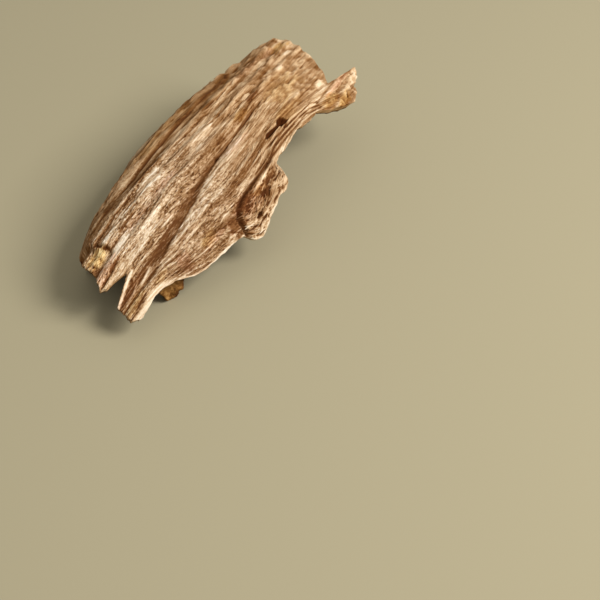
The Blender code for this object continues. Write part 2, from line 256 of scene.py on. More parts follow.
def arch(x, arc):
    """Point of the plain arched surface."""
    crest_y = along(CREST_Y, x)
    crest_z = along(CREST_Z, x)
    near_radius = along(NEAR_RADIUS, x)
    far_radius = along(FAR_RADIUS, x)
    near_turn = np.maximum(arc, 0.0) / near_radius
    far_turn = np.maximum(-arc, 0.0) / far_radius
    straight_down = np.maximum(far_turn - math.pi / 2, 0.0) * far_radius
    far_turn = np.minimum(far_turn, math.pi / 2)
    y = crest_y - near_radius * np.sin(near_turn) + far_radius * np.sin(far_turn)
    z = crest_z - near_radius * (1 - np.cos(near_turn)) - far_radius * (1 - np.cos(far_turn))
    return np.stack([x, y, z - straight_down], axis=-1)


def unit(vectors):
    """Vectors of length 1 in the same directions."""
    return vectors / np.linalg.norm(vectors, axis=-1, keepdims=True)


def arch_normal(x, arc):
    """Outward direction of the arch."""
    along_fibres = arch(x + NORMAL_REACH, arc) - arch(x - NORMAL_REACH, arc)
    across = arch(x, arc + NORMAL_REACH) - arch(x, arc - NORMAL_REACH)
    return unit(np.cross(across, along_fibres))


def far_edge_arc(x):
    """Arc at which the far wall ends: on the surface, or a little over it."""
    far_radius = along(FAR_RADIUS, x)
    drop = along(CREST_Z, x) - far_radius - np.maximum(sharp(FAR_EDGE_LIFT, x), 0.0)
    return far_radius * math.pi / 2 + drop


def fibre_line(x, arc):
    """The fibre that passes a place: its arc where the wall is widest."""
    flow = along(FIBRE_FLOW, x)
    k = (flow - NEAR_REACH) / NEAR_REACH ** 2
    k = np.where(np.abs(k) < STRAIGHT, STRAIGHT, k)
    root = np.sqrt(np.maximum(1.0 + 4.0 * k * arc, SMALLEST_SQUARE))
    return np.where(arc > 0.0, (root - 1.0) / (2.0 * k), arc)


print("At X 60 the far wall ends", round(float(far_edge_arc(60.0)), 1), "mm from the crest")


# %% [markdown]
# ## Ragged edges
#
# Wood breaks fibre by fibre, so an end isn't a smooth line: each strand stops a little before or
# after its neighbour. The wall is only ever shortened, never lengthened, so the piece keeps its
# size, and the raggedness is over within a few millimetres of the end. The hidden far wall is
# eaten away the most, but its lower edge still touches the surface in places.

# %% The outline, with its splintered ends
RAGGED_REACH = 4.0
TEETH_RAGGED, NUB_RAGGED = 0.8, 0.35
EDGE_RAGGED = 0.4
FAR_RAGGED, FAR_RAGGED_FROM = 1.5, (-10.0, -17.0)
FAR_BITE, FAR_LEFT_WHOLE = 3.0, 0.45
SPLINTER_NOISE = [(0.6, 40.0, 0.6, 51), (0.4, 40.0, 1.7, 52)]
EDGE_NOISE = [(EDGE_RAGGED, 1.4, 1.0, 53)]
FAR_EDGE_NOISE = [(0.6, 3.1, 1.0, 54), (0.4, 1.1, 1.0, 55)]


def outline(column, row):
    """Place (X, arc) of a grid point, from its column and row on a plain rectangle."""
    t = (column - TEETH_TIP) / LENGTH
    near = (np.maximum(row, 0.0) / NEAR_REACH) ** SIDE_BLEND
    far = (np.maximum(-row, 0.0) / FAR_REACH) ** SIDE_BLEND
    teeth_arc = row + (sharp(NEAR_EDGE, TEETH_TIP) - NEAR_REACH) * near
    nub_arc = row + (sharp(NEAR_EDGE, PRONG_TIP) - NEAR_REACH) * near
    start = sharp(TEETH_END, teeth_arc) - TEETH_TIP
    end = sharp(NUB_END, nub_arc) - PRONG_TIP
    x = column + start * (1.0 - t) ** END_BLEND + end * t ** END_BLEND
    splinters = summed(strands, x, teeth_arc, SPLINTER_NOISE)
    from_teeth = np.exp(-(column - TEETH_TIP) / RAGGED_REACH)
    from_nub = np.exp(-(PRONG_TIP - column) / RAGGED_REACH)
    nub_ragged = blend(NUB_RAGGED, FAR_RAGGED, step(*FAR_RAGGED_FROM, nub_arc))
    x = x + TEETH_RAGGED * splinters * from_teeth - nub_ragged * splinters * from_nub
    near_shift = along(NEAR_EDGE, x) - NEAR_REACH
    corners = sharp(NEAR_EDGE, x) - along(NEAR_EDGE, x) - summed(strands, x, 0.0 * x, EDGE_NOISE)
    at_edge = (np.maximum(row, 0.0) / NEAR_REACH) ** CORNER_BLEND
    eaten = np.clip(summed(strands, x, 0.0 * x, FAR_EDGE_NOISE) - FAR_LEFT_WHOLE, 0.0, 1.0)
    far_shift = FAR_REACH - far_edge_arc(x) + FAR_BITE * eaten
    return x, row + near_shift * near + corners * at_edge + far_shift * far


nub_ends = outline(np.full(5, PRONG_TIP), np.linspace(-30.0, 25.0, 5))[0]
print("The nub's end lies at X", np.round(nub_ends, 1))


# %% [markdown]
# ## Large forms of the outside
#
# The long groove, the cleft beside the lobe, the lobe itself and the nub come first, because the
# eye finds them from a step away. The solid has them too. Here the groove's line and the cleft are
# read more finely, and the cleft is as narrow as the real one.

# %% Groove, cleft, lobe, nub and ledge
LONG_GROOVE = [(2, 13.0), (20, 14.0), (30, 12.6), (41, 11.4), (50, 9.4), (60, 8.3), (74, 7.4),
               (88, 6.5)]
GROOVE_DEPTH, GROOVE_HALF_WIDTH, GROOVE_FADE, GROOVE_END = 1.8, 2.0, 66, 90
LOBE_CLEFT = [(45.2, 31.5), (45.8, 28.0), (46.3, 25.0), (47.8, 23.0), (51.0, 21.9), (57.0, 21.1),
              (66.0, 20.5), (74.0, 20.1)]
CLEFT_DEPTH, CLEFT_HALF_WIDTH, CLEFT_FADE = 1.0, 0.45, (72, 50)
LOBE_RISE, LOBE_SPAN, LOBE_SIDE = 0.4, (45.6, 46.4, 67.2, 69), (0.3, 1.2)
NUB_RISE, NUB_START, NUB_SIDE = 1.2, (97, 104), (17, 22)
DARK_STRANDS_RISE, DARK_STRANDS_SPAN = 1.2, (30, 42, 98.5, 101)
DARK_STRANDS_ARCS = (-26, -22, -10.5, -8)
BROKEN_LAYER_DROP, BROKEN_LAYER_END, BROKEN_LAYER_ARCS = 1.3, (17.4, 16.2), (-9, -7.5, 2.5, 4)
LEDGE_RAGGED, LEDGE_STRETCH, LEDGE_WAVES = 0.9, 0.2, (1.0, 1.3)
SWELL_HEIGHT, SWELL_LENGTH, SWELL_WIDTH = 0.35, 22.0, 3.2
RIDGE_WANDER, RIDGE_WANDER_LENGTH = 1.2, 26.0
RIDGES = [(-30, 0.9, 2.2), (-22, 0.8, 1.8), (-13, 0.9, 1.6), (-4.5, 0.8, 1.5), (0.5, 0.6, 1.3),
          (5.0, 0.7, 1.3), (16.5, 0.6, 1.4), (21.5, 0.5, 1.4)]


def zones(x, arc):
    """Where each large form lies, as shares from 0 to 1."""
    ragged = LEDGE_RAGGED * grain_noise(LEDGE_STRETCH * x, arc, *LEDGE_WAVES, seed=25)
    return {
        "groove": bump(arc - along(LONG_GROOVE, x), GROOVE_HALF_WIDTH) * step(GROOVE_END, GROOVE_FADE, x),
        "cleft": bump(from_line(x, arc, LOBE_CLEFT), CLEFT_HALF_WIDTH) * step(*CLEFT_FADE, x),
        "lobe": span(x, *LOBE_SPAN) * step(*LOBE_SIDE, arc - sharp(LOBE_CLEFT, x)),
        "nub": step(*NUB_START, x) * step(*NUB_SIDE, arc),
        "dark_strands": span(x, *DARK_STRANDS_SPAN) * span(arc, *DARK_STRANDS_ARCS),
        "ledge": step(*BROKEN_LAYER_END, x + ragged) * span(arc, *BROKEN_LAYER_ARCS),
    }


def large_relief(x, arc):
    """Height of the large forms over the plain arch."""
    zone = zones(x, arc)
    fibre = fibre_line(x, arc)
    height = SWELL_HEIGHT * grain_noise(x, fibre, SWELL_LENGTH, SWELL_WIDTH, seed=3)
    for ridge_arc, ridge_height, half_width in RIDGES:
        wander = RIDGE_WANDER * grain_noise(x, ridge_arc + 0 * x, RIDGE_WANDER_LENGTH, 1.0, seed=11)
        height += ridge_height * bump(fibre - ridge_arc - wander, half_width)
    height += LOBE_RISE * zone["lobe"] + NUB_RISE * zone["nub"]
    height += DARK_STRANDS_RISE * zone["dark_strands"]
    height -= GROOVE_DEPTH * zone["groove"] + CLEFT_DEPTH * zone["cleft"]
    height -= BROKEN_LAYER_DROP * zone["ledge"]
    return height


forms = large_relief(np.full(5, 30.0), np.linspace(-5.0, 20.0, 5))
print("Forms over the arch at X 30:", np.round(forms, 1), "mm")


# %% [markdown]
# ## What weather does to the fibres
#
# Soft tissue rots out between the hard strands, so the surface sinks in long valleys and in short
# dashes where a pocket of bark fell out. Near the teeth the threads break up into flecks, and past
# the middle they run on. The upper end is worn into short, rounded bumps, the far flank is worn
# smooth, the lobe is a net of crossing strands, and beside the slit the wood comes apart in cords.
#
# A carver would cut such lines one by one. Here each kind is the strand noise at another length and
# width, and it blends into its neighbours. One value, the crest, records how high a place stands
# among its neighbours: the material needs it to make crests pale and valleys brown.

# %% Fibres that wander, and threads that grow longer
STRINGY = (44, 64)
WANDERS = [(0.7, 17.0, 5.0, 61), (0.15, 6.5, 2.4, 62), (0.04, 2.4, 1.2, 66)]
CONTRAST = (0.24, 0.76)


def turned(x, arc, angle):
    """The same place, measured along and across a direction at an angle to the fibres."""
    return x * math.cos(angle) + arc * math.sin(angle), arc * math.cos(angle) - x * math.sin(angle)


def wandering_fibre(x, arc):
    """The fibre that passes a place, with the wander that real fibres have."""
    fibre = fibre_line(x, arc)
    for reach, length, width, seed in WANDERS:
        fibre = fibre + reach * grain_noise(x, arc, length, width, seed)
    return fibre


def stringiness(x):
    """How long the threads are: 0 near the teeth, where they break up, and 1 past the middle."""
    return step(*STRINGY, x)


def contrast(value):
    """Spread a mean of several noises over the whole range from 0 to 1."""
    return step(*CONTRAST, value)


print("Threads at X 40, 54 and 70 are long by", stringiness(np.array([40.0, 54.0, 70.0])))

# %% The plates: threads side by side, with short dark pits
RIBS, RIB_SEED, THREAD_SEED, HAIR_SEED = (18.0, 1.9), 1, 2, 4
SHORT_THREADS, LONG_THREADS = ((3.2, 0.48), (1.9, 0.33), 0.12), ((10.0, 1.10), (5.5, 0.60), 0.28)
THREAD_DEPTH, HAIR_DEPTH, PIT_DEPTH, VALLEY_POWER = 0.26, 0.13, 0.30, 1.5
RIB_AND_THREAD_SHARE, HAIR_SHARE = 0.70, 0.30
PLATE_CREST, PLATE_CONTRAST, PIT_DARKNESS = 0.19, 0.62, 0.8
CROWDING, CROWDED_BY = (9.0, 3.5), 0.14
SMALL_DASHES, SMALL_PITS, SMALL_PITS_BELOW = (1.5, 0.34), (0.58, 0.76), (0.80, 0.40)
LARGE_DASHES, LARGE_PITS = (2.8, 0.52), (0.83, 0.93)
SAMPLE_X, SAMPLE_ARC = np.arange(30.0, 36.0), np.zeros(6)


def plate_texture(x, fibre, thread, hair, rib_share):
    """Depth and crest of the plates. Thread and hair are (length, width)."""
    ribs = strands(x, fibre, *RIBS, seed=RIB_SEED)
    threads = strands(x, fibre, *thread, seed=THREAD_SEED)
    hairs = strands(x, fibre, *hair, seed=HAIR_SEED)
    pits = dashes(x, fibre, threads)
    height = mixed((rib_share, RIB_AND_THREAD_SHARE - rib_share, HAIR_SHARE), ribs, threads, hairs)
    # Pits lower the crest, so the material paints them dark: painted shade in the pits, on top of their real
    # depth.
    crest = (PLATE_CREST + PLATE_CONTRAST * contrast(height)) * (1 - PIT_DARKNESS * pits)
    valleys = (1 - ribs) ** VALLEY_POWER, (1 - threads) ** VALLEY_POWER
    return mixed((rib_share, THREAD_DEPTH, HAIR_DEPTH, PIT_DEPTH), *valleys, 1 - hairs, pits), crest


def dashes(x, fibre, threads):
    """Short, narrow pits where pockets of bark fell out, as a share from 0 to 1."""
    crowded = CROWDED_BY * grain_noise(x, fibre, *CROWDING, seed=63)
    small = step(*SMALL_PITS, strands(x, fibre, *SMALL_DASHES, seed=15) + crowded)
    large = step(*LARGE_PITS, strands(x, fibre, *LARGE_DASHES, seed=16) + crowded)
    return np.maximum(small * step(*SMALL_PITS_BELOW, threads), large)


plates = plate_texture(SAMPLE_X, SAMPLE_ARC, *SHORT_THREADS)[0]
print("Plates along a fibre:", np.round(plates, 2), "mm deep")

# %% Splits, cords and the worn flank, each a sum of strands
SPLITS = [(16.0, 0.62, 21, 0.7, 0.75, 1.5), (5.0, 0.36, 22, 0.3, 0.20, 1.0)]
CORDS = [(30.0, 0.95, 7, 0.75, 1.50, 1.8), (6.0, 0.45, 18, 0.25, 0.18, 1.0)]
FLANK = [(6.0, 1.7, 12, 0.55, 0.34, 1.5), (2.4, 0.80, 20, 0.45, 0.20, 1.0)]
FLANK_CREST, FLANK_CREST_SHARE = 0.45, 0.55


def strand_texture(x, fibre, layers, crest_range):
    """Depth and crest of strands given as (length, width, seed, share of the crest, depth, power)."""
    depth, crest = 0.0, 0.0
    for length, width, seed, crest_share, layer_depth, power in layers:
        height = strands(x, fibre, length, width, seed)
        depth = depth + layer_depth * (1 - height) ** power
        crest = crest + crest_share * height
    return depth, step(*crest_range, crest)


def flank_texture(x, fibre):
    """The far flank: broad, worn strands, broken into short lengths."""
    depth, crest = strand_texture(x, fibre, FLANK, CONTRAST)
    return depth, blend(FLANK_CREST, crest, FLANK_CREST_SHARE)


print("Flank along a fibre:", np.round(flank_texture(SAMPLE_X, SAMPLE_ARC)[0], 2), "mm deep")

# %% The scales of the worn end, and the net on the lobe
SCALES, BUMPS, GRIT, THIN_CRACKS = (3.6, 1.6), (1.7, 1.15), (1.1, 0.65), (9.0, 0.45)
THIN_CRACKS_FROM, THIN_CRACK_DARKNESS = (0.80, 0.95), 0.3
SCALE_CREST, SCALE_CONTRAST, SCALE_HEIGHTS = 0.17, 0.68, (0.34, 0.46, 0.20)
SCALE_DEPTHS, SCALE_POWER = (0.30, 0.42, 0.20, 0.20), 1.3
LOBE_TURN = math.radians(24.0)
NET_STRANDS = [(LOBE_TURN, 2.0, 0.52, 8, (0.36, 0.68)), (-0.7 * LOBE_TURN, 1.8, 0.50, 9, (0.40, 0.72))]
NET_HAIRS, NET_CREST, NET_DEPTHS, NET_POWER = (1.0, 0.40), (0.56, 0.34), (0.60, 0.18), 1.4


def scale_texture(x, fibre):
    """The worn end: short, rounded bumps in rows, with thin cracks along the fibres."""
    scales = strands(x, fibre, *SCALES, seed=5)
    bumps = 0.5 + 0.5 * grain_noise(x, fibre, *BUMPS, seed=26)
    grit = strands(x, fibre, *GRIT, seed=6)
    thin_cracks = step(*THIN_CRACKS_FROM, strands(x, fibre, *THIN_CRACKS, seed=17))
    crest = SCALE_CREST + SCALE_CONTRAST * contrast(mixed(SCALE_HEIGHTS, scales, bumps, grit))
    depth = mixed(SCALE_DEPTHS, (1 - scales) ** SCALE_POWER, 1 - bumps, 1 - grit, thin_cracks)
    return depth, crest * (1 - THIN_CRACK_DARKNESS * thin_cracks)


def net_texture(x, fibre):
    """The lobe: strands that cross at a small angle, with dark holes between them."""
    net = 0.0
    for turn, length, width, seed, limits in NET_STRANDS:
        net = np.maximum(net, step(*limits, strands(*turned(x, fibre, turn), length, width, seed)))
    hairs = strands(x, fibre, *NET_HAIRS, seed=19)
    crest = np.clip(mixed(NET_CREST, net, hairs), 0.0, 1.0)
    return mixed(NET_DEPTHS, (1 - net) ** NET_POWER, 1 - hairs), crest


print("Scales along a fibre:", np.round(scale_texture(SAMPLE_X, SAMPLE_ARC)[0], 2), "mm deep")

# %% The crumbs of the nub, and the ledge
COARSE_CRUMBS, COARSE_SHARE, FINE_CRUMBS, FINE_SHARE = (1.7, 1.4), 0.34, (0.8, 0.7), 0.26
CRUMB_DEPTH, CRUMB_CREST, CRUMB_CONTRAST = 1.1, 0.12, 0.70
LEDGE_CRUMBS, LEDGE_PITS, LEDGE_PITS_FROM = (1.1, 0.75), (1.4, 0.80), (0.74, 0.92)
LEDGE_DEPTHS, LEDGE_CREST, LEDGE_CONTRAST, LEDGE_PIT_DARKNESS = (0.30, 0.50), 0.44, 0.42, 0.45


def crumb_texture(x, arc):
    """The nub: crumbs without a direction."""
    coarse = grain_noise(x, arc, *COARSE_CRUMBS, seed=13)
    fine = grain_noise(x, arc, *FINE_CRUMBS, seed=14)
    crumbs = contrast(0.5 + COARSE_SHARE * coarse + FINE_SHARE * fine)
    return CRUMB_DEPTH * (1 - crumbs), CRUMB_CREST + CRUMB_CONTRAST * crumbs


def ledge_texture(x, arc):
    """The ledge, where a layer broke off: crumbly, with a few pits."""
    crumbs = contrast(strands(x, arc, *LEDGE_CRUMBS, seed=23))
    pits = step(*LEDGE_PITS_FROM, strands(x, arc, *LEDGE_PITS, seed=24))
    # The ledge's pits are painted dark the same way: painted shade in the pits.
    crest = LEDGE_CREST + LEDGE_CONTRAST * crumbs - LEDGE_PIT_DARKNESS * pits
    return mixed(LEDGE_DEPTHS, 1 - crumbs, pits), crest


print("Crumbs along a fibre:", np.round(crumb_texture(SAMPLE_X, SAMPLE_ARC)[0], 2), "mm deep")

# %% Places that were rubbed pale, and the lip of the near edge, worn and painted as a highlight
# The lip is palest at the teeth, where the edge faces the lamp: partly wear, partly a painted highlight.
LIP_WIDTH = [(3, 1.5), (9, 1.7), (13, 1.9), (17, 1.4), (21, 0.9), (25, 0.6), (45, 0.55), (49, 0.8),
             (60, 0.7), (66, 0.7), (68, 0.5), (98, 0.4), (110, 0.8)]
LIP_STRENGTH = [(3, 1.2), (9, 1.5), (17, 1.4), (21, 0.9), (47, 0.9), (60, 0.7), (66, 0.6), (70, 0.5),
                (98, 0.3), (104, 0.0), (110, 0.0), (113, 0.6)]
LIP_FADE = (1.2, 0.6)


def lip_wear_and_highlight(x, arc):
    """Share of the pale lip along the near edge, worn and also a painted highlight of the lit edge."""
    from_edge = sharp(NEAR_EDGE, x) - arc - EDGE_RAGGED / 2
    return sharp(LIP_STRENGTH, x) * step(*LIP_FADE, from_edge / sharp(LIP_WIDTH, x))


def paleness_and_highlight(x, arc):
    """How pale a place is: rubbed pale in a patch or along a strand, and on the lip worn and painted as a
    highlight.
    """
    rubbed = np.maximum(marks(x, arc, PALE_PATCHES), lines(x, arc, PALE_STRANDS))
    return np.maximum(rubbed, lip_wear_and_highlight(x, arc))


print("The lip on the edge is", np.round(lip_wear_and_highlight(SAMPLE_X, sharp(NEAR_EDGE, SAMPLE_X)), 2), "pale")

# %% All the fine relief together
SCALES_START, SCALES_SIDE = (80, 96), (18.5, 16.0)
CORDS_SPAN, CORDS_SIDE = (56, 66, 106, 114), (16.0, 17.5)
FLANK_START = (-3.5, -6.5)
LEDGE_ARCS = (-3.6, -2.4, 1.6, 3.2)
CRUMBS_SIDE = (21.0, 22.2)
SPLITS_END = (26, 18)
SPLITS_ON_TOOTH_1, SPLITS_ON_TOOTH_2 = (2.4, 3.2, 6.0, 7.0), (10.5, 11.5, 15.0, 16.5)
SPLITS_CREST, CORDS_CREST = (0.25, 0.75), (0.22, 0.66)
RUBBED_MOST, RUBBED_CREST, RUBBED_SHARE = 0.8, 0.85, 0.55
WORN_DOWN = 0.6
SMOOTH_CREST, SMOOTH_DEPTH, SMOOTH_SHARE = 0.36, 0.9, 0.85
SMOOTHER_IN_GROOVE, HOLE_DEPTH = 0.3, 0.9


def on_scales(x, arc):
    """Share of the worn upper end."""
    return step(*SCALES_START, x) * step(*SCALES_SIDE, arc)


def textures(x, arc):
    """Depth and crest of the textures, each blended over the ones before it."""
    zone = zones(x, arc)
    fibre = wandering_fibre(x, arc)
    on_teeth = np.maximum(span(arc, *SPLITS_ON_TOOTH_1), span(arc, *SPLITS_ON_TOOTH_2))
    on_cords = span(x, *CORDS_SPAN) * step(*CORDS_SIDE, arc)
    layers = [
        (plate_texture(x, fibre, *LONG_THREADS), stringiness(x)),
        (flank_texture(x, fibre), step(*FLANK_START, arc)),
        (scale_texture(x, fibre), on_scales(x, arc)),
        (strand_texture(x, fibre, SPLITS, SPLITS_CREST), step(*SPLITS_END, x) * on_teeth),
        (strand_texture(x, fibre_line(x, arc), CORDS, CORDS_CREST), on_cords),
        (net_texture(x, fibre), zone["lobe"]),
        (crumb_texture(x, arc), zone["nub"] * step(*CRUMBS_SIDE, arc)),
        (ledge_texture(x, arc), zone["ledge"] * span(arc, *LEDGE_ARCS)),
    ]
    depth, crest = plate_texture(x, fibre, *SHORT_THREADS)
    for (layer_depth, layer_crest), share in layers:
        depth = blend(depth, layer_depth, share)
        crest = blend(crest, layer_crest, share)
    return depth, crest


def fine_relief(x, arc):
    """Depth below the crests in millimetres, and the crest value between 0 and 1."""
    depth, crest = textures(x, arc)
    # The rubbed share also holds the lip's painted highlight, which lifts the crest and so the colour.
    rubbed = np.clip(paleness_and_highlight(x, arc), 0.0, RUBBED_MOST)
    crest = blend(crest, RUBBED_CREST, RUBBED_SHARE * rubbed)
    depth = depth * (1 - WORN_DOWN * rubbed)
    on_strand = lines(x, arc, PALE_STRANDS)
    crest = np.maximum(crest, on_strand)
    depth = depth * (1 - WORN_DOWN * on_strand)
    smooth = SMOOTH_SHARE * marks(x, arc, SMOOTH_HOLLOWS)
    crest = blend(crest, SMOOTH_CREST, smooth)
    depth = blend(depth, SMOOTH_DEPTH, smooth)
    depth = depth * (1 - SMOOTHER_IN_GROOVE * zones(x, arc)["groove"])
    crack = cracks(x, arc)
    depth = depth + HOLE_DEPTH * marks(x, arc, HOLES) + CRACK_DEPTH * crack
    return depth, np.clip(crest * (1 - crack), 0.0, 1.0)


# %% [markdown]
# ## Marks in the colour
#
# Some colour follows no relief: a pale, smooth patch that was rubbed clean, an ochre cloud, the
# resin beside the cleft. The holes of borers are sunk into the wood and painted dark as well, which
# is painted shade in the holes. Each mark is an oval along the fibres, given by its place and its
# half sizes, and its rim is broken up with noise, so that no oval shows.

# %% Pale, ochre, rosy and resin marks, and holes painted dark as shade, as (X, arc, half length, half width, strength)
PALE_PATCHES = [
    (42.6, -1.2, 5.6, 2.0, 1.1), (19.5, -0.6, 3.2, 0.6, 0.9), (27, -1.6, 3.6, 0.7, 0.8),
    (56, 2.4, 5.0, 1.1, 0.6), (64, 0.6, 6.0, 0.6, 0.5), (80, -4.2, 8.0, 0.35, 0.8),
    (14.2, 8.0, 3.2, 1.1, 0.6), (20, 3.6, 4.6, 1.1, 0.8), (21, 8.4, 9.0, 1.0, 0.7),
    (31, 6.4, 9.0, 0.7, 0.5), (28, 15.6, 7.0, 0.5, 0.6), (50, 12.2, 9.0, 0.9, 0.45),
    (60, 11.0, 8.0, 0.9, 0.4), (54, 19.5, 2.6, 0.75, 0.5), (44, 21.6, 2.0, 0.7, 0.8),
    (41, 26.6, 1.2, 0.5, 0.8), (63.6, 26.8, 3.0, 1.5, 0.7), (95, 13.2, 4.0, 1.1, 0.6),
    (92, -1.6, 3.0, 1.0, 0.5), (105, -1.9, 4.0, 0.8, 0.6), (109, 3.6, 3.0, 0.9, 0.5),
    (85, 2.5, 3.0, 0.6, 0.8), (107.5, 17.0, 1.9, 1.4, 1.0), (119.5, 23.2, 3.6, 1.2, 0.7),
    (120.8, -3.0, 1.4, 1.4, 0.9), (118.5, 8.8, 1.4, 1.6, 0.9), (104.8, 4.0, 2.0, 0.9, 0.8),
    (105, -1.2, 1.8, 0.8, 0.8), (114.5, 2.5, 1.8, 1.0, 0.8), (122.5, 21.8, 2.2, 1.0, 1.0),
]
OCHRE_CLOUDS = [
    (14.0, -0.2, 3.4, 2.4, 0.85), (77, 5.4, 3.6, 1.1, 0.6), (116, -1.0, 3.5, 1.8, 0.7),
    (8.0, 15.6, 5.0, 1.1, 0.5), (18.2, 18.0, 2.4, 1.0, 0.4), (35, 22.0, 3.0, 1.8, 0.6),
    (87, 15.4, 8.0, 2.0, 0.4), (104, 22.8, 4.0, 1.6, 0.7), (109, 25.6, 4.5, 1.6, 0.8),
    (97, 9.0, 9.0, 4.0, 0.35), (60, -14.0, 16.0, 4.0, 0.35), (56, 23.6, 3.0, 1.0, 0.4),
]
ROSY_PATCHES = [
    (11, 4.3, 5.5, 1.7, 0.9), (10, 12.8, 6.0, 1.3, 0.5), (40, 2.6, 6.0, 1.2, 0.6),
    (26, 20.6, 2.0, 3.0, 0.7), (37, 23.4, 5.0, 1.0, 0.7), (44, 25.0, 2.8, 2.8, 0.5),
    (50, 23.6, 5.0, 1.8, 1.0), (66, 10.2, 6.0, 1.2, 0.5), (52, 24.0, 7.0, 3.0, 0.5),
    (100, -4.5, 8.0, 1.2, 0.4), (112, -2.5, 4.0, 0.9, 0.6), (86, 4.2, 4.0, 0.9, 0.5),
    (112, 20.8, 8.0, 0.8, 0.9), (30, 3.2, 9.0, 1.2, 0.4),
]
# Streaks at the places of HOLES, the slit's eye among them, darken the holes and their rims: painted shade.
# The others are resin.
RESIN_AND_HOLE_SHADE = [
    (43, -5.6, 7.0, 1.5, 0.9), (86, -10.0, 18.0, 0.8, 0.7), (17.4, -0.8, 0.6, 2.6, 1.0),
    (10.2, 1.9, 1.4, 0.8, 1.0), (26, 1.4, 3.4, 0.45, 0.8), (32, 3.9, 2.4, 0.7, 0.7),
    (60, 5.6, 10.0, 0.35, 0.5), (44.0, 25.2, 2.2, 2.2, 0.45), (43.8, 28.2, 1.8, 0.8, 0.9),
    (50.8, 23.0, 4.4, 1.0, 0.8), (46.4, 26.4, 0.6, 3.2, 1.0), (57.4, 25.6, 1.8, 0.8, 0.6),
    (61.4, 23.4, 3.0, 0.5, 0.9), (55.4, 23.6, 2.2, 0.6, 0.6), (51.8, 28.3, 1.1, 0.7, 1.0),
    (52.2, 29.9, 1.5, 0.4, 1.0), (48.6, 29.8, 1.0, 0.35, 0.9), (50.0, 30.6, 0.8, 0.3, 0.8),
    (17.6, 15.2, 2.8, 0.45, 1.0), (9, 13.2, 4.6, 0.4, 0.9), (26.5, 22.6, 1.6, 1.8, 0.5),
    (82.2, 16.1, 1.9, 1.5, 1.0), (86, 4.1, 4.0, 0.8, 0.35), (69, -3.4, 2.6, 0.5, 0.7),
    (30, -6.8, 6.0, 0.8, 0.5), (108, 27.6, 3.0, 0.8, 0.7), (96.5, 20.6, 2.0, 0.5, 0.6),
    (110, 22.4, 1.2, 0.5, 0.5),
]
SMOOTH_HOLLOWS = [(44.0, 25.2, 2.3, 2.4, 1.0), (43.6, 22.6, 1.4, 1.0, 0.6)]
# The holes are sunk into the wood, and the material paints them dark as well: painted shade in the holes.
HOLES = [
    (51.8, 28.3, 1.0, 0.65, 1.0), (52.2, 29.9, 1.4, 0.35, 0.9), (48.6, 29.8, 0.9, 0.3, 0.8),
    (17.4, -0.8, 0.5, 2.4, 0.7), (57.4, 25.4, 1.2, 0.8, 0.5), (82.2, 16.1, 1.8, 1.4, 1.1),
    (108, 27.2, 0.7, 0.5, 0.8), (105.2, 26.4, 0.5, 0.4, 0.8), (111.5, 25.2, 0.5, 0.5, 0.7),
    (31.5, 3.6, 1.2, 0.5, 0.5), (58, 8.6, 0.9, 0.4, 0.6), (98.5, 21.6, 0.8, 0.4, 0.6),
]

MARK_RIM = (1.25, 0.65)
MARK_RAGGED = [(0.40, 3.0, 0.8, 64), (0.25, 1.2, 0.5, 65)]


def from_mark(x, arc, mark_x, mark_arc, half_length, half_width):
    """Distance from the middle of a mark, 1 on its rim."""
    return np.hypot((x - mark_x) / half_length, (arc - mark_arc) / half_width)


def marks(x, arc, places):
    """How strongly a place lies in any of these marks, their rims broken up by noise."""
    ragged = summed(grain_noise, x, arc, MARK_RAGGED)
    total = 0.0 * x
    for *mark, strength in places:
        total = np.maximum(total, strength * step(*MARK_RIM, from_mark(x, arc, *mark) + ragged))
    return total


print("Marks:", len(PALE_PATCHES + OCHRE_CLOUDS + ROSY_PATCHES + RESIN_AND_HOLE_SHADE + HOLES))

# %% Pale strands, as (points, half width, strength)
PALE_STRANDS = [
    ([(55.0, 22.9), (60.0, 22.3), (66.0, 21.4), (74.0, 20.9)], 0.42, 0.9),
    ([(57.2, 24.4), (60.8, 22.9)], 0.32, 0.8),
    ([(47.4, 31.2), (50.0, 28.6), (53.0, 26.6), (56.0, 25.6)], 0.30, 0.9),
    ([(46.9, 29.0), (49.0, 26.8), (53.0, 25.0)], 0.28, 0.8),
    ([(49.6, 31.8), (53.5, 29.3), (57.0, 28.4), (60.5, 27.8)], 0.34, 0.8),
    ([(48.5, 27.8), (51.0, 30.0), (53.4, 31.0)], 0.26, 0.7),
    ([(53.2, 26.4), (54.8, 28.6), (57.4, 29.6)], 0.26, 0.7),
    ([(4.4, 12.5), (9.0, 11.5), (12.4, 10.7), (14.5, 10.4)], 0.42, 1.3),
    ([(13.4, 14.5), (16.0, 14.2), (18.6, 13.8)], 0.42, 1.3),
    ([(5.4, 14.2), (10.0, 13.9), (14.0, 13.0)], 0.22, 0.7),
    ([(5.6, 6.5), (8.0, 7.1), (12.0, 7.6), (15.0, 7.4)], 0.55, 0.9),
    ([(75.0, 17.0), (86.0, 17.3), (97.0, 18.6)], 0.26, 0.7),
    ([(70.0, 18.4), (84.0, 18.3), (95.0, 18.9)], 0.22, 0.7),
]


def lines(x, arc, strokes):
    """How strongly a place lies on any of these lines, given as (points, half width, strength)."""
    total = 0.0 * x
    for points, half_width, strength in strokes:
        total = np.maximum(total, strength * bump(from_line(x, arc, points), half_width))
    return total


print("Lines:", len(PALE_STRANDS))

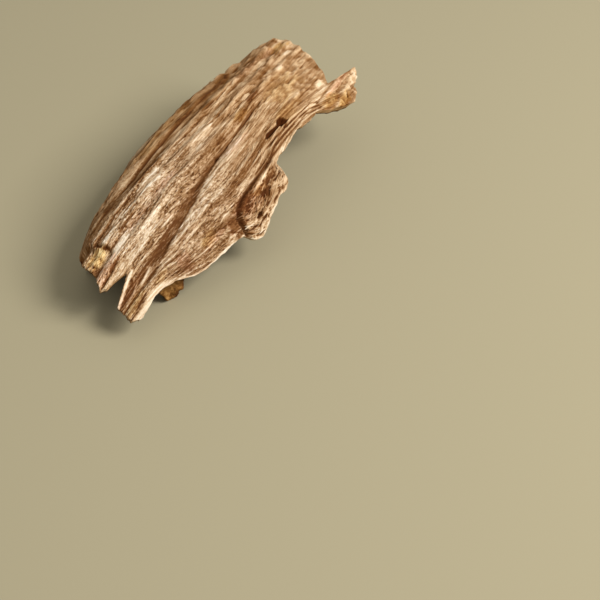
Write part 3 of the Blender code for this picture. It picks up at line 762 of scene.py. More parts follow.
# %% Paler and browner places, and dark bands
SHADES = [
    (16, -1.0, 9.0, 2.2, 0.7), (27, -1.0, 12.0, 2.0, 0.6), (21, 3.2, 8.0, 2.0, 0.9),
    (30, 6.8, 7.0, 1.8, 0.5), (30, 3.0, 14.0, 7.0, 0.25), (13.5, -0.5, 3.5, 2.6, 0.3),
    (116, 23.5, 7.0, 4.0, 0.2), (17, -6.5, 6.0, 4.0, -0.8), (30, -9.0, 10.0, 4.0, -0.4),
    (10.0, 8.0, 5.0, 2.0, -0.6), (62, -1.0, 9.0, 2.2, 0.8), (63, 2.5, 6.0, 1.5, 0.8),
    (62, -6.4, 6.0, 1.5, 0.9), (54, -4.0, 6.0, 1.6, 0.6), (32, -7.2, 7.0, 1.8, 0.6),
    (38, 14.6, 12.0, 1.8, 0.9), (46, 16.2, 12.0, 2.2, 0.6), (52, 12.2, 12.0, 1.8, 0.3),
    (62, 13.4, 8.0, 2.6, 0.2), (87, -4.2, 7.0, 1.5, 0.5), (80, 7.6, 7.0, 2.0, 0.4),
    (58, 18.2, 6.0, 1.6, 0.4), (52, 1.6, 5.0, 1.8, -0.7), (47, 8.0, 9.0, 1.6, -0.8),
    (117, 8.0, 4.0, 2.6, -0.3), (23, 21.0, 5.0, 2.6, -1.2), (32, 25.8, 7.0, 2.0, -1.1),
    (43, 23.2, 6.0, 3.0, -0.7), (60, 27.0, 5.0, 2.4, -1.1), (80, 18.6, 8.0, 2.6, -0.9),
    (62, -14.4, 26.0, 2.4, -1.1), (92, -10.4, 9.0, 1.4, -0.9), (27, -11.0, 7.0, 2.0, -0.6),
    (17, -7.6, 8.0, 2.0, -0.5), (38, 4.6, 5.0, 1.6, -0.3), (6, 17.0, 5.0, 1.8, -0.5),
    (7, 7.6, 3.5, 1.6, -1.1), (94, 11.4, 5.0, 1.6, -0.6), (101, -5.2, 5.0, 1.5, -0.4),
    (53, 25.5, 8.0, 3.0, -2.0), (104, 6.0, 14.0, 9.0, 0.2), (73, 16.4, 6.0, 1.6, -0.6),
    (85, 17.6, 15.0, 1.8, -0.4),
]

DARK_BANDS = [
    ([(84.0, 4.2), (92.5, 3.2), (99.0, 2.0), (108.0, 0.0)], 0.9, 1.3),
    ([(96.0, -7.6), (102.0, -6.4), (108.0, -5.4)], 0.8, 1.0),
    ([(12.5, -4.2), (17.0, -2.9), (21.5, -2.6), (26.0, -3.1), (35.0, -2.6)], 0.55, 1.5),
    ([(18.0, -10.4), (22.0, -9.6), (27.0, -8.2), (32.0, -8.5), (38.0, -9.2)], 0.9, 1.3),
    ([(46.0, -6.6), (60.0, -7.2), (72.0, -7.6)], 0.6, 0.8),
]
BAND_WANDER, BAND_WAVES, SHADE_SOFTNESS = 0.5, (5.0, 2.0), 0.85
BAND_GAPS, BAND_GAP_SIZE, BAND_GAP_RANGE = 0.35, (3.0, 0.7), (0.2, 0.6)


def shade(x, arc):
    """How much paler or browner than elsewhere the wood is at a place."""
    wander = BAND_WANDER * grain_noise(x, arc, *BAND_WAVES, seed=27)
    broken = blend(BAND_GAPS, 1.0, step(*BAND_GAP_RANGE, strands(x, arc, *BAND_GAP_SIZE, seed=28)))
    total = -lines(x, arc - wander, DARK_BANDS) * broken
    for *mark, strength in SHADES:
        total += strength * bump(from_mark(x, arc, *mark), SHADE_SOFTNESS)
    return total


print("Shade along a fibre:", np.round(shade(SAMPLE_X, SAMPLE_ARC), 2))

# %% Cracks along the fibres, as (points, half width, strength)
CRACKS = [
    ([(57, 18.3), (70, 17.7), (85, 17.9), (97, 18.5), (100, 20.0)], 0.26, 0.7),
    ([(60, 20.2), (68, 19.3), (78, 18.9), (88, 18.8), (95, 19.3), (99, 21.0)], 0.32, 0.8),
    ([(64, 21.2), (72, 20.2), (82, 19.8), (92, 19.7), (97, 21.2)], 0.26, 0.6),
    ([(78, 5.3), (92, 5.1), (105, 5.2), (119, 5.5)], 0.16, 0.5),
    ([(56, -3.5), (70, -3.9), (92, -4.7)], 0.20, 0.5),
    ([(84, 14.9), (95, 15.2), (109, 15.4)], 0.18, 0.5),
    ([(16, -3.1), (36, -3.3)], 0.22, 0.9),
    ([(34, -8.2), (50, -8.9), (66, -9.4), (84, -9.9)], 0.35, 0.9),
    ([(17, 2.0), (25, 2.3)], 0.16, 0.7),
    ([(7, 5.7), (10, 5.7)], 0.20, 0.7),
    ([(11.5, 5.7), (16.2, 5.6)], 0.36, 1.0),
    ([(5, 4.6), (12, 4.2)], 0.16, 0.6),
    ([(5, 12.9), (13, 11.9)], 0.20, 0.9),
    ([(5.5, 16.9), (12, 16.7)], 0.24, 0.9),
    ([(22, 14.9), (32, 13.7), (42, 12.3)], 0.22, 0.7),
    ([(40, 11.6), (47, 9.9), (60, 8.5), (72, 7.8), (86, 7.0)], 0.26, 0.9),
    ([(58, 6.3), (76, 6.2)], 0.18, 0.6),
    ([(53, 18.3), (61, 18.0)], 0.26, 0.9),
    ([(41, 25.0), (45, 28.6)], 0.24, 0.7),
    ([(98, 2.0), (112, 1.2)], 0.16, 0.5),
    ([(100, 9.5), (114, 9.0)], 0.16, 0.5),
    ([(99, 20.2), (111, 19.6)], 0.26, 0.8),
]
CRACK_DEPTH, CRACK_WANDER, CRACK_WAVES = 0.55, 0.16, (7.0, 3.0)
CRACK_GAPS, CRACK_GAP_SIZE, CRACK_GAP_RANGE = 0.45, (4.0, 1.2), (0.25, 0.55)
CLEFT_CRACK, CLEFT_CRACK_END = 0.34, (76, 70)


def cracks(x, arc):
    """Thin dark cracks along the fibres, as a share from 0 to 1."""
    wander = CRACK_WANDER * grain_noise(x, arc, *CRACK_WAVES, seed=68)
    gaps = blend(CRACK_GAPS, 1.0, step(*CRACK_GAP_RANGE, strands(x, arc, *CRACK_GAP_SIZE, seed=69)))
    along_grain = lines(x, arc - wander, CRACKS) * gaps
    beside_lobe = bump(from_line(x, arc, LOBE_CLEFT), CLEFT_CRACK) * step(*CLEFT_CRACK_END, x)
    return np.maximum(along_grain, beside_lobe)


print("Cracks:", len(CRACKS))

# %% Stain of the long groove, as (X, half width)
GROOVE_STAIN = [(2, 1.4), (14, 1.5), (22, 1.6), (32, 1.6), (40, 1.5), (50, 0.9), (66, 0.6),
                (84, 0.3), (88, 0.05)]
STAIN_RAGGED, STAIN_WAVES, STAIN_RIM, STAIN_END = 0.35, (6.0, 0.7), (1.25, 0.70), (88, 76)
STAIN_AT_TEETH, STAIN_FULL_FROM = 0.65, (14, 24)


def groove_stain(x, arc):
    """Share of the brown stain along the floor of the long groove."""
    ragged = STAIN_RAGGED * grain_noise(x, arc, *STAIN_WAVES, seed=67)
    distance = np.abs(arc - along(LONG_GROOVE, x)) / along(GROOVE_STAIN, x)
    weaker_at_teeth = blend(STAIN_AT_TEETH, 1.0, step(*STAIN_FULL_FROM, x))
    return step(*STAIN_RIM, distance + ragged) * step(*STAIN_END, x) * weaker_at_teeth


depths = fine_relief(np.full(5, 30.0), np.arange(5.0))[0]
print("Fine relief at X 30:", np.round(depths, 2), "mm deep")


# %% [markdown]
# ## The wall's thickness and the underside
#
# Seen from below, the wall is spongy: rot has eaten small caves between lumps that hang down, and
# two of the lumps reach the surface as feet. The solid has the same lumps and feet, and the caves
# are added here, shallower where the wall is thin.

# %% Wall, lumps, feet and caves
HOLLOW_FOLLOWS = 0.6
LUMPS = [(15, 14.0, 4.0, 2.5, 2.2), (31, 21.5, 3.5, 2.5, 2.0), (36, 12.0, 6.0, 3.0, 1.6),
         (52, 2.0, 7.0, 3.5, 1.8), (70, 13.0, 6.0, 3.0, 2.4), (88, 2.0, 8.0, 4.0, 2.0),
         (96, 15.0, 5.0, 3.0, 2.2), (111, 6.0, 6.0, 4.0, 1.8), (45, -14.0, 7.0, 4.0, 1.8),
         (78, -18.0, 8.0, 4.0, 2.0), (102, -12.0, 6.0, 4.0, 2.0), (28, 21.0, 4.0, 3.0, 3.0),
         (62, 19.0, 13.0, 3.5, 5.0)]
KNOT_X, KNOT_ARC, KNOT_RADIUS, KNOT_RIM, KNOT_DEPTH = 55.0, 24.5, 2.8, 1.2, 2.0
FEET = [(22.0, -10.5, 3.6, 3.8), (63.0, -15.0, 5.5, 3.8)]
FOOT_OVERLAP = 0.9
FOOT_FLATNESS = 1.3
FOOT_UNEVENNESS, UNEVENNESS_LENGTH, UNEVENNESS_WIDTH = 0.25, 3.5, 3.0
FOOT_SET_IN = (0.5, 3.5)
CAVE_DEPTH, CAVE_POWER, THINNEST_WALL = 1.1, 1.5, 0.9
COARSE_CAVES, MIDDLE_CAVES, FINE_CAVES, CAVE_SHARES = (3.4, 2.4), (1.7, 1.2), (3.0, 0.8), (0.45, 0.3, 0.25)
THIN_END, THIN_END_REACH = 0.5, 7.0


def wall_thickness(x, arc, row):
    """Distance from the outside to the hollow, lumps left out."""
    near_wall = along(NEAR_EDGE_WALL, x)
    to_near_edge = step(0.0, EDGE_THINNING, sharp(NEAR_EDGE, x) - arc)
    to_far_edge = step(0.0, EDGE_THINNING, FAR_REACH + row)
    wall = near_wall + (WALL - near_wall) * to_near_edge
    wall -= (WALL - FAR_EDGE_WALL) * (1.0 - to_far_edge)
    variation = WALL_VARIATION * grain_noise(x, arc, VARIATION_LENGTH, VARIATION_WIDTH, seed=21)
    thin_end = blend(THIN_END, 1.0, step(0.0, THIN_END_REACH, x - sharp(TEETH_END, arc)))
    return (wall + variation * to_near_edge) * thin_end


def lump_depth(x, arc):
    """How far the lumps and the ring-shaped knot hang into the hollow."""
    depth = 0.0 * x
    for lump_x, lump_arc, length, width, lump in LUMPS:
        depth += lump * np.exp(-((x - lump_x) / length) ** 2 - ((arc - lump_arc) / width) ** 2)
    from_knot = np.hypot(x - KNOT_X, arc - KNOT_ARC)
    return depth + KNOT_DEPTH * bump(from_knot - KNOT_RADIUS, KNOT_RIM)


def foot_drop(points, to_near_edge):
    """How far the underside is drawn down to the surface, where the feet stand."""
    share = 0.0 * points[..., 0]
    for foot_x, foot_y, half_length, half_width in FEET:
        along_foot = (points[..., 0] - foot_x) / half_length
        across_foot = (points[..., 1] - foot_y) / half_width
        uneven = grain_noise(points[..., 0], points[..., 1], UNEVENNESS_LENGTH, UNEVENNESS_WIDTH, seed=31)
        share += np.exp(-(np.hypot(along_foot, across_foot) + FOOT_UNEVENNESS * uneven) ** 3)
    share = np.minimum(FOOT_FLATNESS * share, 1.0)
    return (points[..., 2] + FOOT_OVERLAP) * share * step(*FOOT_SET_IN, to_near_edge)


def sponge(x, arc):
    """Caves of the rotted underside: 0 in a cave, 1 on the strands between them."""
    coarse = 0.5 + 0.5 * grain_noise(x, arc, *COARSE_CAVES, seed=71)
    middle = 0.5 + 0.5 * grain_noise(x, arc, *MIDDLE_CAVES, seed=72)
    fine = strands(x, arc, *FINE_CAVES, seed=73)
    return np.clip(mixed(CAVE_SHARES, coarse, middle, fine), 0.0, 1.0)


print("Wall at X 60:", np.round(wall_thickness(np.full(1, 60.0), np.zeros(1), np.zeros(1)), 1), "mm")


# %% [markdown]
# ## From places to points
#
# Now both sides can be worked out on a grid: the outside stands on the arch by its relief, and the
# underside hangs below it by the thickness of the wall. The worn flank and the far shoulder stand
# out or sink in by up to a millimetre from the plain arch. Points never leave the solid's own box,
# and the feet are flat where they meet the surface.

# %% Points of the outside and of the underside
FRAME_ORIGIN = np.array([ORIGIN_X, ORIGIN_Y, 0.0])
FLANK_LIFT = [
    (8, -0.4), (15, -0.3), (21, 1.0), (31, 1.1), (34, 0.6), (37, -0.7), (42, -0.8), (50, -0.4), (58, 0.0),
]
FLANK_LIFT_FROM = (-4, -9)
SHOULDER_LIFT, SHOULDER_X, SHOULDER_ARC, SHOULDER_SIZE = 1.2, 113.0, -8.5, (7.0, 4.0)
HOLLOW_BEHIND, HOLLOW_SPAN, HOLLOW_ARCS = 0.7, (84, 90, 98, 103), (-17, -13, -11, -8)
CALM_EDGE, CALM_REACH = 0.45, 6.0


def to_frame(points):
    """Millimetres of the working frame to metres about the origin, kept inside the solid's box."""
    return np.clip((points - FRAME_ORIGIN) * MM, np.array(CAD_BOX[0]), np.array(CAD_BOX[1]))


def lift(x, arc):
    """How far the worn flank and the far shoulder of the crown stand out from the plain arch."""
    flank = along(FLANK_LIFT, x) * step(*FLANK_LIFT_FROM, arc)
    behind = span(x, *HOLLOW_SPAN) * span(arc, *HOLLOW_ARCS)
    return flank + SHOULDER_LIFT * shoulder(x, arc) - HOLLOW_BEHIND * behind


def shoulder(x, arc):
    """Share of the far shoulder of the crown."""
    return bump(x - SHOULDER_X, SHOULDER_SIZE[0]) * bump(arc - SHOULDER_ARC, SHOULDER_SIZE[1])


def outside(column, row):
    """Points of the weathered outside, with what the material needs to know about each."""
    x, arc = outline(column, row)
    depth, crest = fine_relief(x, arc)
    depth = depth * blend(CALM_EDGE, 1.0, step(0.0, CALM_REACH, sharp(NEAR_EDGE, x) - arc))
    height = large_relief(x, arc) - depth + lift(x, arc)
    points = arch(x, arc) + arch_normal(x, arc) * height[..., None]
    return points, x, arc, crest


def underside(column, row):
    """Points of the spongy underside, with what the material needs to know about each."""
    x, arc = outline(column, row)
    wall = wall_thickness(x, arc, row) + lump_depth(x, arc)
    strand = sponge(x, arc)
    cave = np.minimum(CAVE_DEPTH * (1 - strand) ** CAVE_POWER, np.maximum(wall - THINNEST_WALL, 0.0))
    depth = wall - HOLLOW_FOLLOWS * large_relief(x, arc) - cave
    points = arch(x, arc) - arch_normal(x, arc) * depth[..., None]
    drop = foot_drop(points, sharp(NEAR_EDGE, x) - arc)
    points[..., 2] -= drop
    return points, x, arc, strand, drop


print("The top of the wall at X 60 is at", np.round(outside(np.full(1, 60.0), np.zeros(1))[0][0, 2], 1), "mm")

# %% [markdown]
# ## One closed mesh
#
# The outside needs a vertex every fifth of a millimetre across the fibres, but the underside can do
# with half of that, and so can the hidden far wall. So there are two grids, the second with every
# other column and row, and the broken edge between them is made of loops that run round the piece.
# The last loop is stitched to the coarser grid with three triangles for each of its edges.

# %% Grid sizes
COLUMNS = 280
FAR_ROWS, FLANK_ROWS, NEAR_ROWS = 26, 46, 172
FLANK_FROM, NEAR_FROM = -20.0, -5.0
RIM_LOOPS = 3
RIM_CRUMBLE = 0.55

columns = np.linspace(TEETH_TIP, PRONG_TIP, COLUMNS + 1)
rows = np.concatenate([
    np.linspace(-FAR_REACH, FLANK_FROM, FAR_ROWS, endpoint=False),
    np.linspace(FLANK_FROM, NEAR_FROM, FLANK_ROWS, endpoint=False),
    np.linspace(NEAR_FROM, NEAR_REACH, NEAR_ROWS + 1),
])
ROWS = len(rows) - 1
print("Outer grid", COLUMNS, "x", ROWS, "cells")


# %% Faces of a grid, of a band between loops and of the stitch
def grid_faces(last_row, last_column, first, face_down):
    """Faces of a grid of vertices numbered row by row from first."""
    r, c = np.meshgrid(np.arange(last_row), np.arange(last_column), indexing="ij")
    a = first + r * (last_column + 1) + c
    b = a + last_column + 1
    corners = [a, a + 1, b + 1, b] if face_down else [a, b, b + 1, a + 1]
    return np.stack(corners, axis=-1).reshape(-1, 4).tolist()


def boundary(last_row, last_column):
    """(row, column) of the grid's edge, once round."""
    up = [(r, 0) for r in range(last_row)]
    right = [(last_row, c) for c in range(last_column)]
    down = [(r, last_column) for r in range(last_row, 0, -1)]
    left = [(0, c) for c in range(last_column, 0, -1)]
    return np.array(up + right + down + left)


def band_faces(loop, next_loop):
    """Quads between two loops of equal length."""
    a, b = np.array(loop), np.roll(loop, -1)
    c, d = np.array(next_loop), np.roll(next_loop, -1)
    return np.stack([b, a, c, d], axis=-1).tolist()


def stitch_faces(fine_loop, coarse_loop):
    """Triangles between a loop and one with half as many vertices."""
    faces = []
    for j, coarse in enumerate(coarse_loop):
        first, middle = fine_loop[2 * j], fine_loop[2 * j + 1]
        last = fine_loop[(2 * j + 2) % len(fine_loop)]
        coarse_next = coarse_loop[(j + 1) % len(coarse_loop)]
        faces += [(middle, first, coarse), (last, middle, coarse_next), (middle, coarse, coarse_next)]
    return faces


print("Faces of a grid of 2 x 2 cells:", grid_faces(2, 2, 0, face_down=False))

# %% [markdown]
# The points of the broken edge lie between the two sides, pushed in and out by noise where the
# fibres were torn. Which way is out of the wall follows from the last two points of each side.

# %% Work out all the points
CRUMB_SHIFT, RIM_CRUMBS, CRUMB_MIDDLE = 3.0, (0.9, 0.7), 0.35


def rim(outer_points, edge, places, under_points, share):
    """Points of one loop of the broken edge, and their noise."""
    r, c = edge[:, 0], edge[:, 1]
    inward_r = np.clip(r, 2, ROWS - 2)
    inward_c = np.clip(c, 2, COLUMNS - 2)
    out = unit(outer_points[r, c] - outer_points[inward_r, inward_c] + 1e-9)
    x, arc = places
    crumb = strands(x + CRUMB_SHIFT * share, arc + CRUMB_SHIFT * share, *RIM_CRUMBS, seed=81)
    push = RIM_CRUMBLE * (CRUMB_MIDDLE - crumb) * 4.0 * share * (1 - share)
    return blend(outer_points[r, c], under_points, share) + out * push[:, None], crumb


column_grid, row_grid = np.meshgrid(columns, rows)
outer, outer_x, outer_arc, outer_crest = outside(column_grid, row_grid)
under, under_x, under_arc, under_strand, under_drop = underside(column_grid[::2, ::2], row_grid[::2, ::2])
edge = boundary(ROWS, COLUMNS)
coarse_edge = boundary(ROWS // 2, COLUMNS // 2)
edge_at = (edge[:, 0], edge[:, 1])
edge_under = underside(column_grid[edge_at], row_grid[edge_at])[0]
edge_places = (outer_x[edge_at], outer_arc[edge_at])
shares = [(loop + 1) / (RIM_LOOPS + 1) for loop in range(RIM_LOOPS)]
rims = [rim(outer, edge, edge_places, edge_under, share) for share in shares]
print("Points worked out:", outer[..., 0].size + under[..., 0].size + RIM_LOOPS * len(edge))


# %% Join them in one mesh
def flat(grid):
    """The values of a grid, row by row, with vectors kept whole."""
    return grid.reshape(-1, 3) if grid.ndim == 3 else grid.reshape(-1)


outer_count = outer[..., 0].size
rim_count = len(edge)
under_first = outer_count + RIM_LOOPS * rim_count
loops = [edge[:, 0] * (COLUMNS + 1) + edge[:, 1]]
loops += [outer_count + loop * rim_count + np.arange(rim_count) for loop in range(RIM_LOOPS)]
under_loop = under_first + coarse_edge[:, 0] * (COLUMNS // 2 + 1) + coarse_edge[:, 1]

vertices = to_frame(np.concatenate([flat(outer)] + [points for points, crumb in rims] + [flat(under)]))
faces = grid_faces(ROWS, COLUMNS, 0, face_down=False)
faces += grid_faces(ROWS // 2, COLUMNS // 2, under_first, face_down=True)
for loop, next_loop in zip(loops, loops[1:]):
    faces += band_faces(loop, next_loop)
faces += stitch_faces(loops[-1].tolist(), under_loop.tolist())

wood_mesh = bpy.data.meshes.new("agarwood")
wood_mesh.from_pydata(vertices.tolist(), [], faces)
wood = bpy.data.objects.new("agarwood", wood_mesh)
bpy.context.scene.collection.objects.link(wood)
print("Faces:", len(wood_mesh.polygons))

# %% [markdown]
# ## What each vertex tells the material
#
# The material can't know the relief, so the script writes it down: the crest value, how much resin
# or ochre a place has, how pale it is, whether it lies inside or on the break, and its place along
# and across the fibres. The last one lets the fine streaks follow the fibres round the arch.

# %% Resin, wear and warmth of the outside
LOBE_RESIN, LOBE_RESIN_BELOW = 0.85, (0.55, 0.20)
VEINS, VEIN_FROM, VEIN_RESIN = (14.0, 1.6), (0.70, 0.92), 0.55
CLEFT_RESIN = (0.45, 0.85)
CROWN_WEAR, FLANK_WEAR, NUB_WEAR = 1.15, 1.1, 0.6
FRESH_WALL, FRESH_WALL_WEAR = (-12.0, -18.0), 0.2
WARM_CROWN, WARM_TEETH = (56, 78), (20, 14)
TEETH_WARMTH, LOBE_WARMTH = 0.8, 0.6


def resin(x, arc, crest):
    """Share of dark resin at a place of the outside, with the painted shade round the holes."""
    zone = zones(x, arc)
    veins = VEIN_RESIN * step(*VEIN_FROM, strands(x, wandering_fibre(x, arc), *VEINS, seed=91))
    on_lobe = LOBE_RESIN * zone["lobe"] * step(*LOBE_RESIN_BELOW, crest)
    in_cleft = step(*CLEFT_RESIN, zone["cleft"])
    shares = [veins, marks(x, arc, RESIN_AND_HOLE_SHADE), cracks(x, arc), groove_stain(x, arc), in_cleft, on_lobe]
    return np.clip(np.maximum.reduce(shares), 0.0, 1.0)


def wear(x, arc):
    """How smooth a place was worn. The hidden far wall is fresh."""
    worn = CROWN_WEAR * on_scales(x, arc) + FLANK_WEAR * step(*FLANK_START, arc)
    worn = worn * blend(1.0, FRESH_WALL_WEAR, step(*FRESH_WALL, arc))
    return np.maximum.reduce([worn, marks(x, arc, SMOOTH_HOLLOWS), NUB_WEAR * zones(x, arc)["nub"]])


def warmth(x, arc):
    """Where the wood is warmer in colour: on the crown, the teeth and the lobe."""
    at_teeth = TEETH_WARMTH * step(*WARM_TEETH, x)
    return np.maximum.reduce([step(*WARM_CROWN, x), at_teeth, LOBE_WARMTH * zones(x, arc)["lobe"]])


print("Resin on the lobe:", np.round(resin(np.full(1, 55.0), np.full(1, 26.0), np.zeros(1)), 2))

# %% Write the attributes
RESIN_ON_BREAK, BREAK_SHIFT = 0.4, 3.0


def on_all(outer_values, rim_values, under_values):
    """Values of every vertex, in the order in which the mesh has them."""
    return np.concatenate([flat(outer_values)] + rim_values + [flat(under_values)])


def write(mesh, name, numbers):
    """Give each vertex a number of its own, or a vector."""
    kind, field = ("FLOAT", "value") if numbers.ndim == 1 else ("FLOAT_VECTOR", "vector")
    attribute = mesh.attributes.new(name, kind, "POINT")
    attribute.data.foreach_set(field, numbers.astype(np.float32).ravel())


nothing, none_under = 0.0 * outer_x, 0.0 * under_x
none_on_rim = nothing[edge_at]
at_end = (edge[:, 1] == 0) | (edge[:, 1] == COLUMNS)
outer_resin_and_shade = resin(outer_x, outer_arc, outer_crest)
values = {
    "crest": on_all(outer_crest, [crumb for points, crumb in rims], under_strand),
    "resin": on_all(outer_resin_and_shade, [outer_resin_and_shade[edge_at] * RESIN_ON_BREAK] * RIM_LOOPS, none_under),
    "inside": on_all(nothing, [none_on_rim + share for share in shares], none_under + 1.0),
    "broken": on_all(nothing, [none_on_rim + 1.0] * RIM_LOOPS, none_under),
    "end_grain": on_all(nothing, [at_end + none_on_rim] * RIM_LOOPS, none_under),
    "drawn_down": on_all(nothing, [none_on_rim] * RIM_LOOPS, under_drop),
    "along_piece": on_all(outer_x, [edge_places[0]] * RIM_LOOPS, under_x),
    "round_piece": on_all(outer_arc, [edge_places[1]] * RIM_LOOPS, under_arc),
}
outer_marks = {
    "flank": step(*FLANK_START, outer_arc),
    "pale": paleness_and_highlight(outer_x, outer_arc),
    "ochre": marks(outer_x, outer_arc, OCHRE_CLOUDS),
    "rosy": marks(outer_x, outer_arc, ROSY_PATCHES),
    "worn": wear(outer_x, outer_arc),
    "shade": shade(outer_x, outer_arc),
    # Painted shade in the holes.
    "pit": marks(outer_x, outer_arc, HOLES),
    "stringy": stringiness(outer_x),
    "warm": warmth(outer_x, outer_arc),
}
for name, shares_of_mark in outer_marks.items():
    values[name] = on_all(shares_of_mark, [shares_of_mark[edge_at]] * RIM_LOOPS, none_under)
for name, numbers in values.items():
    write(wood_mesh, name, numbers)

outer_fibre = wandering_fibre(outer_x, outer_arc)
rim_fibres = [outer_fibre[edge_at] + BREAK_SHIFT * share for share in shares]
grain_across = on_all(outer_fibre, rim_fibres, under_arc)
write(wood_mesh, "grain", np.stack([values["along_piece"], grain_across, 0 * grain_across], axis=-1))
print("Attributes:", sorted(values), "and grain")

# %% [markdown]
# ## Fibre directions
#
# The raised splinters need to know which way the fibres run under them.

# %% Fibre direction of each vertex
outer_way = unit(np.gradient(outer, axis=1))
under_way = unit(np.gradient(under, axis=1))
write(wood_mesh, "fibre_way", on_all(outer_way, [outer_way[edge_at]] * RIM_LOOPS, under_way))
print("The first fibre runs along", np.round(outer_way[0, 0], 2))

# %% [markdown]
# ## The slit
#
# A borer left a narrow slit with a round eye, right through the wall. It is cut out with a Boolean,
# as a saw would do it. The cutter leans under the near edge and narrows downwards, so no light
# falls through and the slit is dark. The corners of the cut lie on the wood's own faces and keep
# the wood's values, so the new faces are found by a number, and their corners are then painted
# dark, as painted shade inside the slit.

# %% Cut the slit
SLIT_LOW = (72.5, 15.6)
SLIT_HIGH = (82.5, 16.0)
SLIT_WIDTH, SLIT_EYE, SLIT_TAPER = 0.95, 2.5, 0.6
SLIT_POINT = 1.5
SLIT_REACH_UP, SLIT_REACH_DOWN = 4.0, 9.0
SLIT_LEAN = math.tan(math.radians(30.0))
SLIT_EYE_POINTS = 25
# The values of the slit's walls: the darkest ones, as painted shade inside the slit.
SLIT_WALL_SHADE = {"resin": 1.0, "crest": 0.1, "pit": 1.0, "inside": 0.0, "pale": 0.0}


def slit_outline(length):
    """Outline of the slit, along (u) and across (v): a point, two sides and a round eye."""
    eye_radius = SLIT_EYE / 2
    eye_centre = length / 2 - eye_radius
    neck = math.asin(SLIT_WIDTH / SLIT_EYE)
    points = [(-length / 2, 0.0), (-length / 2 + SLIT_POINT, -SLIT_WIDTH / 2)]
    for turn in np.linspace(math.pi + neck, 3 * math.pi - neck, SLIT_EYE_POINTS):
        points.append((eye_centre + eye_radius * math.cos(turn), eye_radius * math.sin(turn)))
    points.append((-length / 2 + SLIT_POINT, SLIT_WIDTH / 2))
    return points


def mark_faces(mesh, number):
    """Number each face, so that the faces of the cut can be found later."""
    attribute = mesh.attributes.new("cut", "FLOAT", "FACE")
    attribute.data.foreach_set("value", [number] * len(mesh.polygons))


def paint_slit_shade(mesh):
    """Paint the slit's walls dark, as painted shade: their corners get the darkest values."""
    cut = np.zeros(len(mesh.polygons), dtype=np.float32)
    mesh.attributes["cut"].data.foreach_get("value", cut)
    corners = {corner for face in np.flatnonzero(cut > 0.5) for corner in mesh.polygons[face].vertices}
    for name, number in SLIT_WALL_SHADE.items():
        for corner in corners:
            mesh.attributes[name].data[corner].value = number
    mesh.attributes.remove(mesh.attributes["cut"])
    return len(corners)


def slit_cutter():
    """A wedge along the fibres that leans under the near edge, so that no light falls through it."""
    ends = np.array([SLIT_LOW, SLIT_HIGH])
    middle = ends.mean(axis=0)
    centre = (arch(*middle[:, None])[0] - FRAME_ORIGIN) * MM
    up = arch_normal(*middle[:, None])[0]
    low, high = [(arch(*end[:, None])[0] - FRAME_ORIGIN) * MM for end in ends]
    forward = (high - low) / np.linalg.norm(high - low)
    side = np.cross(up, forward)
    points = slit_outline(np.linalg.norm(high - low) / MM)
    axis = up + side * SLIT_LEAN
    below, above = -axis * SLIT_REACH_DOWN, axis * SLIT_REACH_UP
    bottom = [centre + (forward * u + side * v * SLIT_TAPER + below) * MM for u, v in points]
    top = [centre + (forward * u + side * v + above) * MM for u, v in points]
    count = len(points)
    sides = [(i, (i + 1) % count, count + (i + 1) % count, count + i) for i in range(count)]
    ends = [tuple(range(count))[::-1], tuple(range(count, 2 * count))]
    mesh = bpy.data.meshes.new("slit_cutter")
    mesh.from_pydata(bottom + top, [], sides + ends)
    mark_faces(mesh, 1.0)
    shape = bmesh.new()
    shape.from_mesh(mesh)
    bmesh.ops.recalc_face_normals(shape, faces=shape.faces[:])
    shape.to_mesh(mesh)
    shape.free()
    return bpy.data.objects.new("slit_cutter", mesh)


def bake_modifiers(thing):
    """Replace a thing's mesh by its evaluated one, and drop the modifiers."""
    graph = bpy.context.evaluated_depsgraph_get()
    finished = thing.evaluated_get(graph)
    mesh = bpy.data.meshes.new_from_object(finished, preserve_all_data_layers=True, depsgraph=graph)
    thing.modifiers.clear()
    thing.data = mesh
    return mesh


mark_faces(wood_mesh, 0.0)
cutter = slit_cutter()
bpy.context.scene.collection.objects.link(cutter)
boolean = wood.modifiers.new("slit", "BOOLEAN")
boolean.operation = "DIFFERENCE"
boolean.solver = "EXACT"
boolean.object = cutter
wood_mesh = bake_modifiers(wood)
bpy.data.objects.remove(cutter)
shaded_corners = paint_slit_shade(wood_mesh)
print("After the slit:", len(wood_mesh.polygons), "faces, and", shaded_corners, "dark corners")

# %% [markdown]
# ## Torn feet
#
# A foot's sides hang down so steeply that the grid has only a few tall faces there. They are
# divided until no edge is long, and the new points are then pushed about by noise of three sizes,
# which leaves lumps and holes like those of rotted wood. The soles stay flat. This noise draws its
# offsets at random, so it gets a seed.

# %% Divide the feet's sides and roughen them
FOOT_CELL, FOOT_ROUNDS = 0.75, 4
FOOT_STARTS = (0.5, 3.0)
FOOT_LUMPS = [(4.2, 1.3), (1.8, 0.8), (0.8, 0.35)]
FOOT_SEED = 7


def divide_feet(shape, drawn_down):
    """Halve the long edges of the feet, round after round."""
    for _ in range(FOOT_ROUNDS):
        long_edges = [
            edge for edge in shape.edges
            if edge.calc_length() > FOOT_CELL * MM
            and max(corner[drawn_down] for corner in edge.verts) > FOOT_STARTS[0]
        ]
        bmesh.ops.subdivide_edges(shape, edges=long_edges, cuts=1, use_grid_fill=True)


def roughen_feet(mesh):
    """Push the points of the feet's sides about, but not those of the soles."""
    noise.seed_set(FOOT_SEED)
    shape = bmesh.new()
    shape.from_mesh(mesh)
    drawn_down = shape.verts.layers.float["drawn_down"]
    divide_feet(shape, drawn_down)
    for corner in shape.verts:
        if corner[drawn_down] < FOOT_STARTS[0]:
            continue
        share = step(*FOOT_STARTS, corner[drawn_down]) * step(0.0, 1.0, corner.co.z / MM)
        for size, reach in FOOT_LUMPS:
            corner.co += noise.noise_vector(corner.co / (size * MM)) * float(share * reach * MM)
        corner.co.z = max(corner.co.z, 0.0)
    bmesh.ops.triangulate(shape, faces=[face for face in shape.faces if len(face.verts) > 4])
    shape.to_mesh(mesh)
    shape.free()


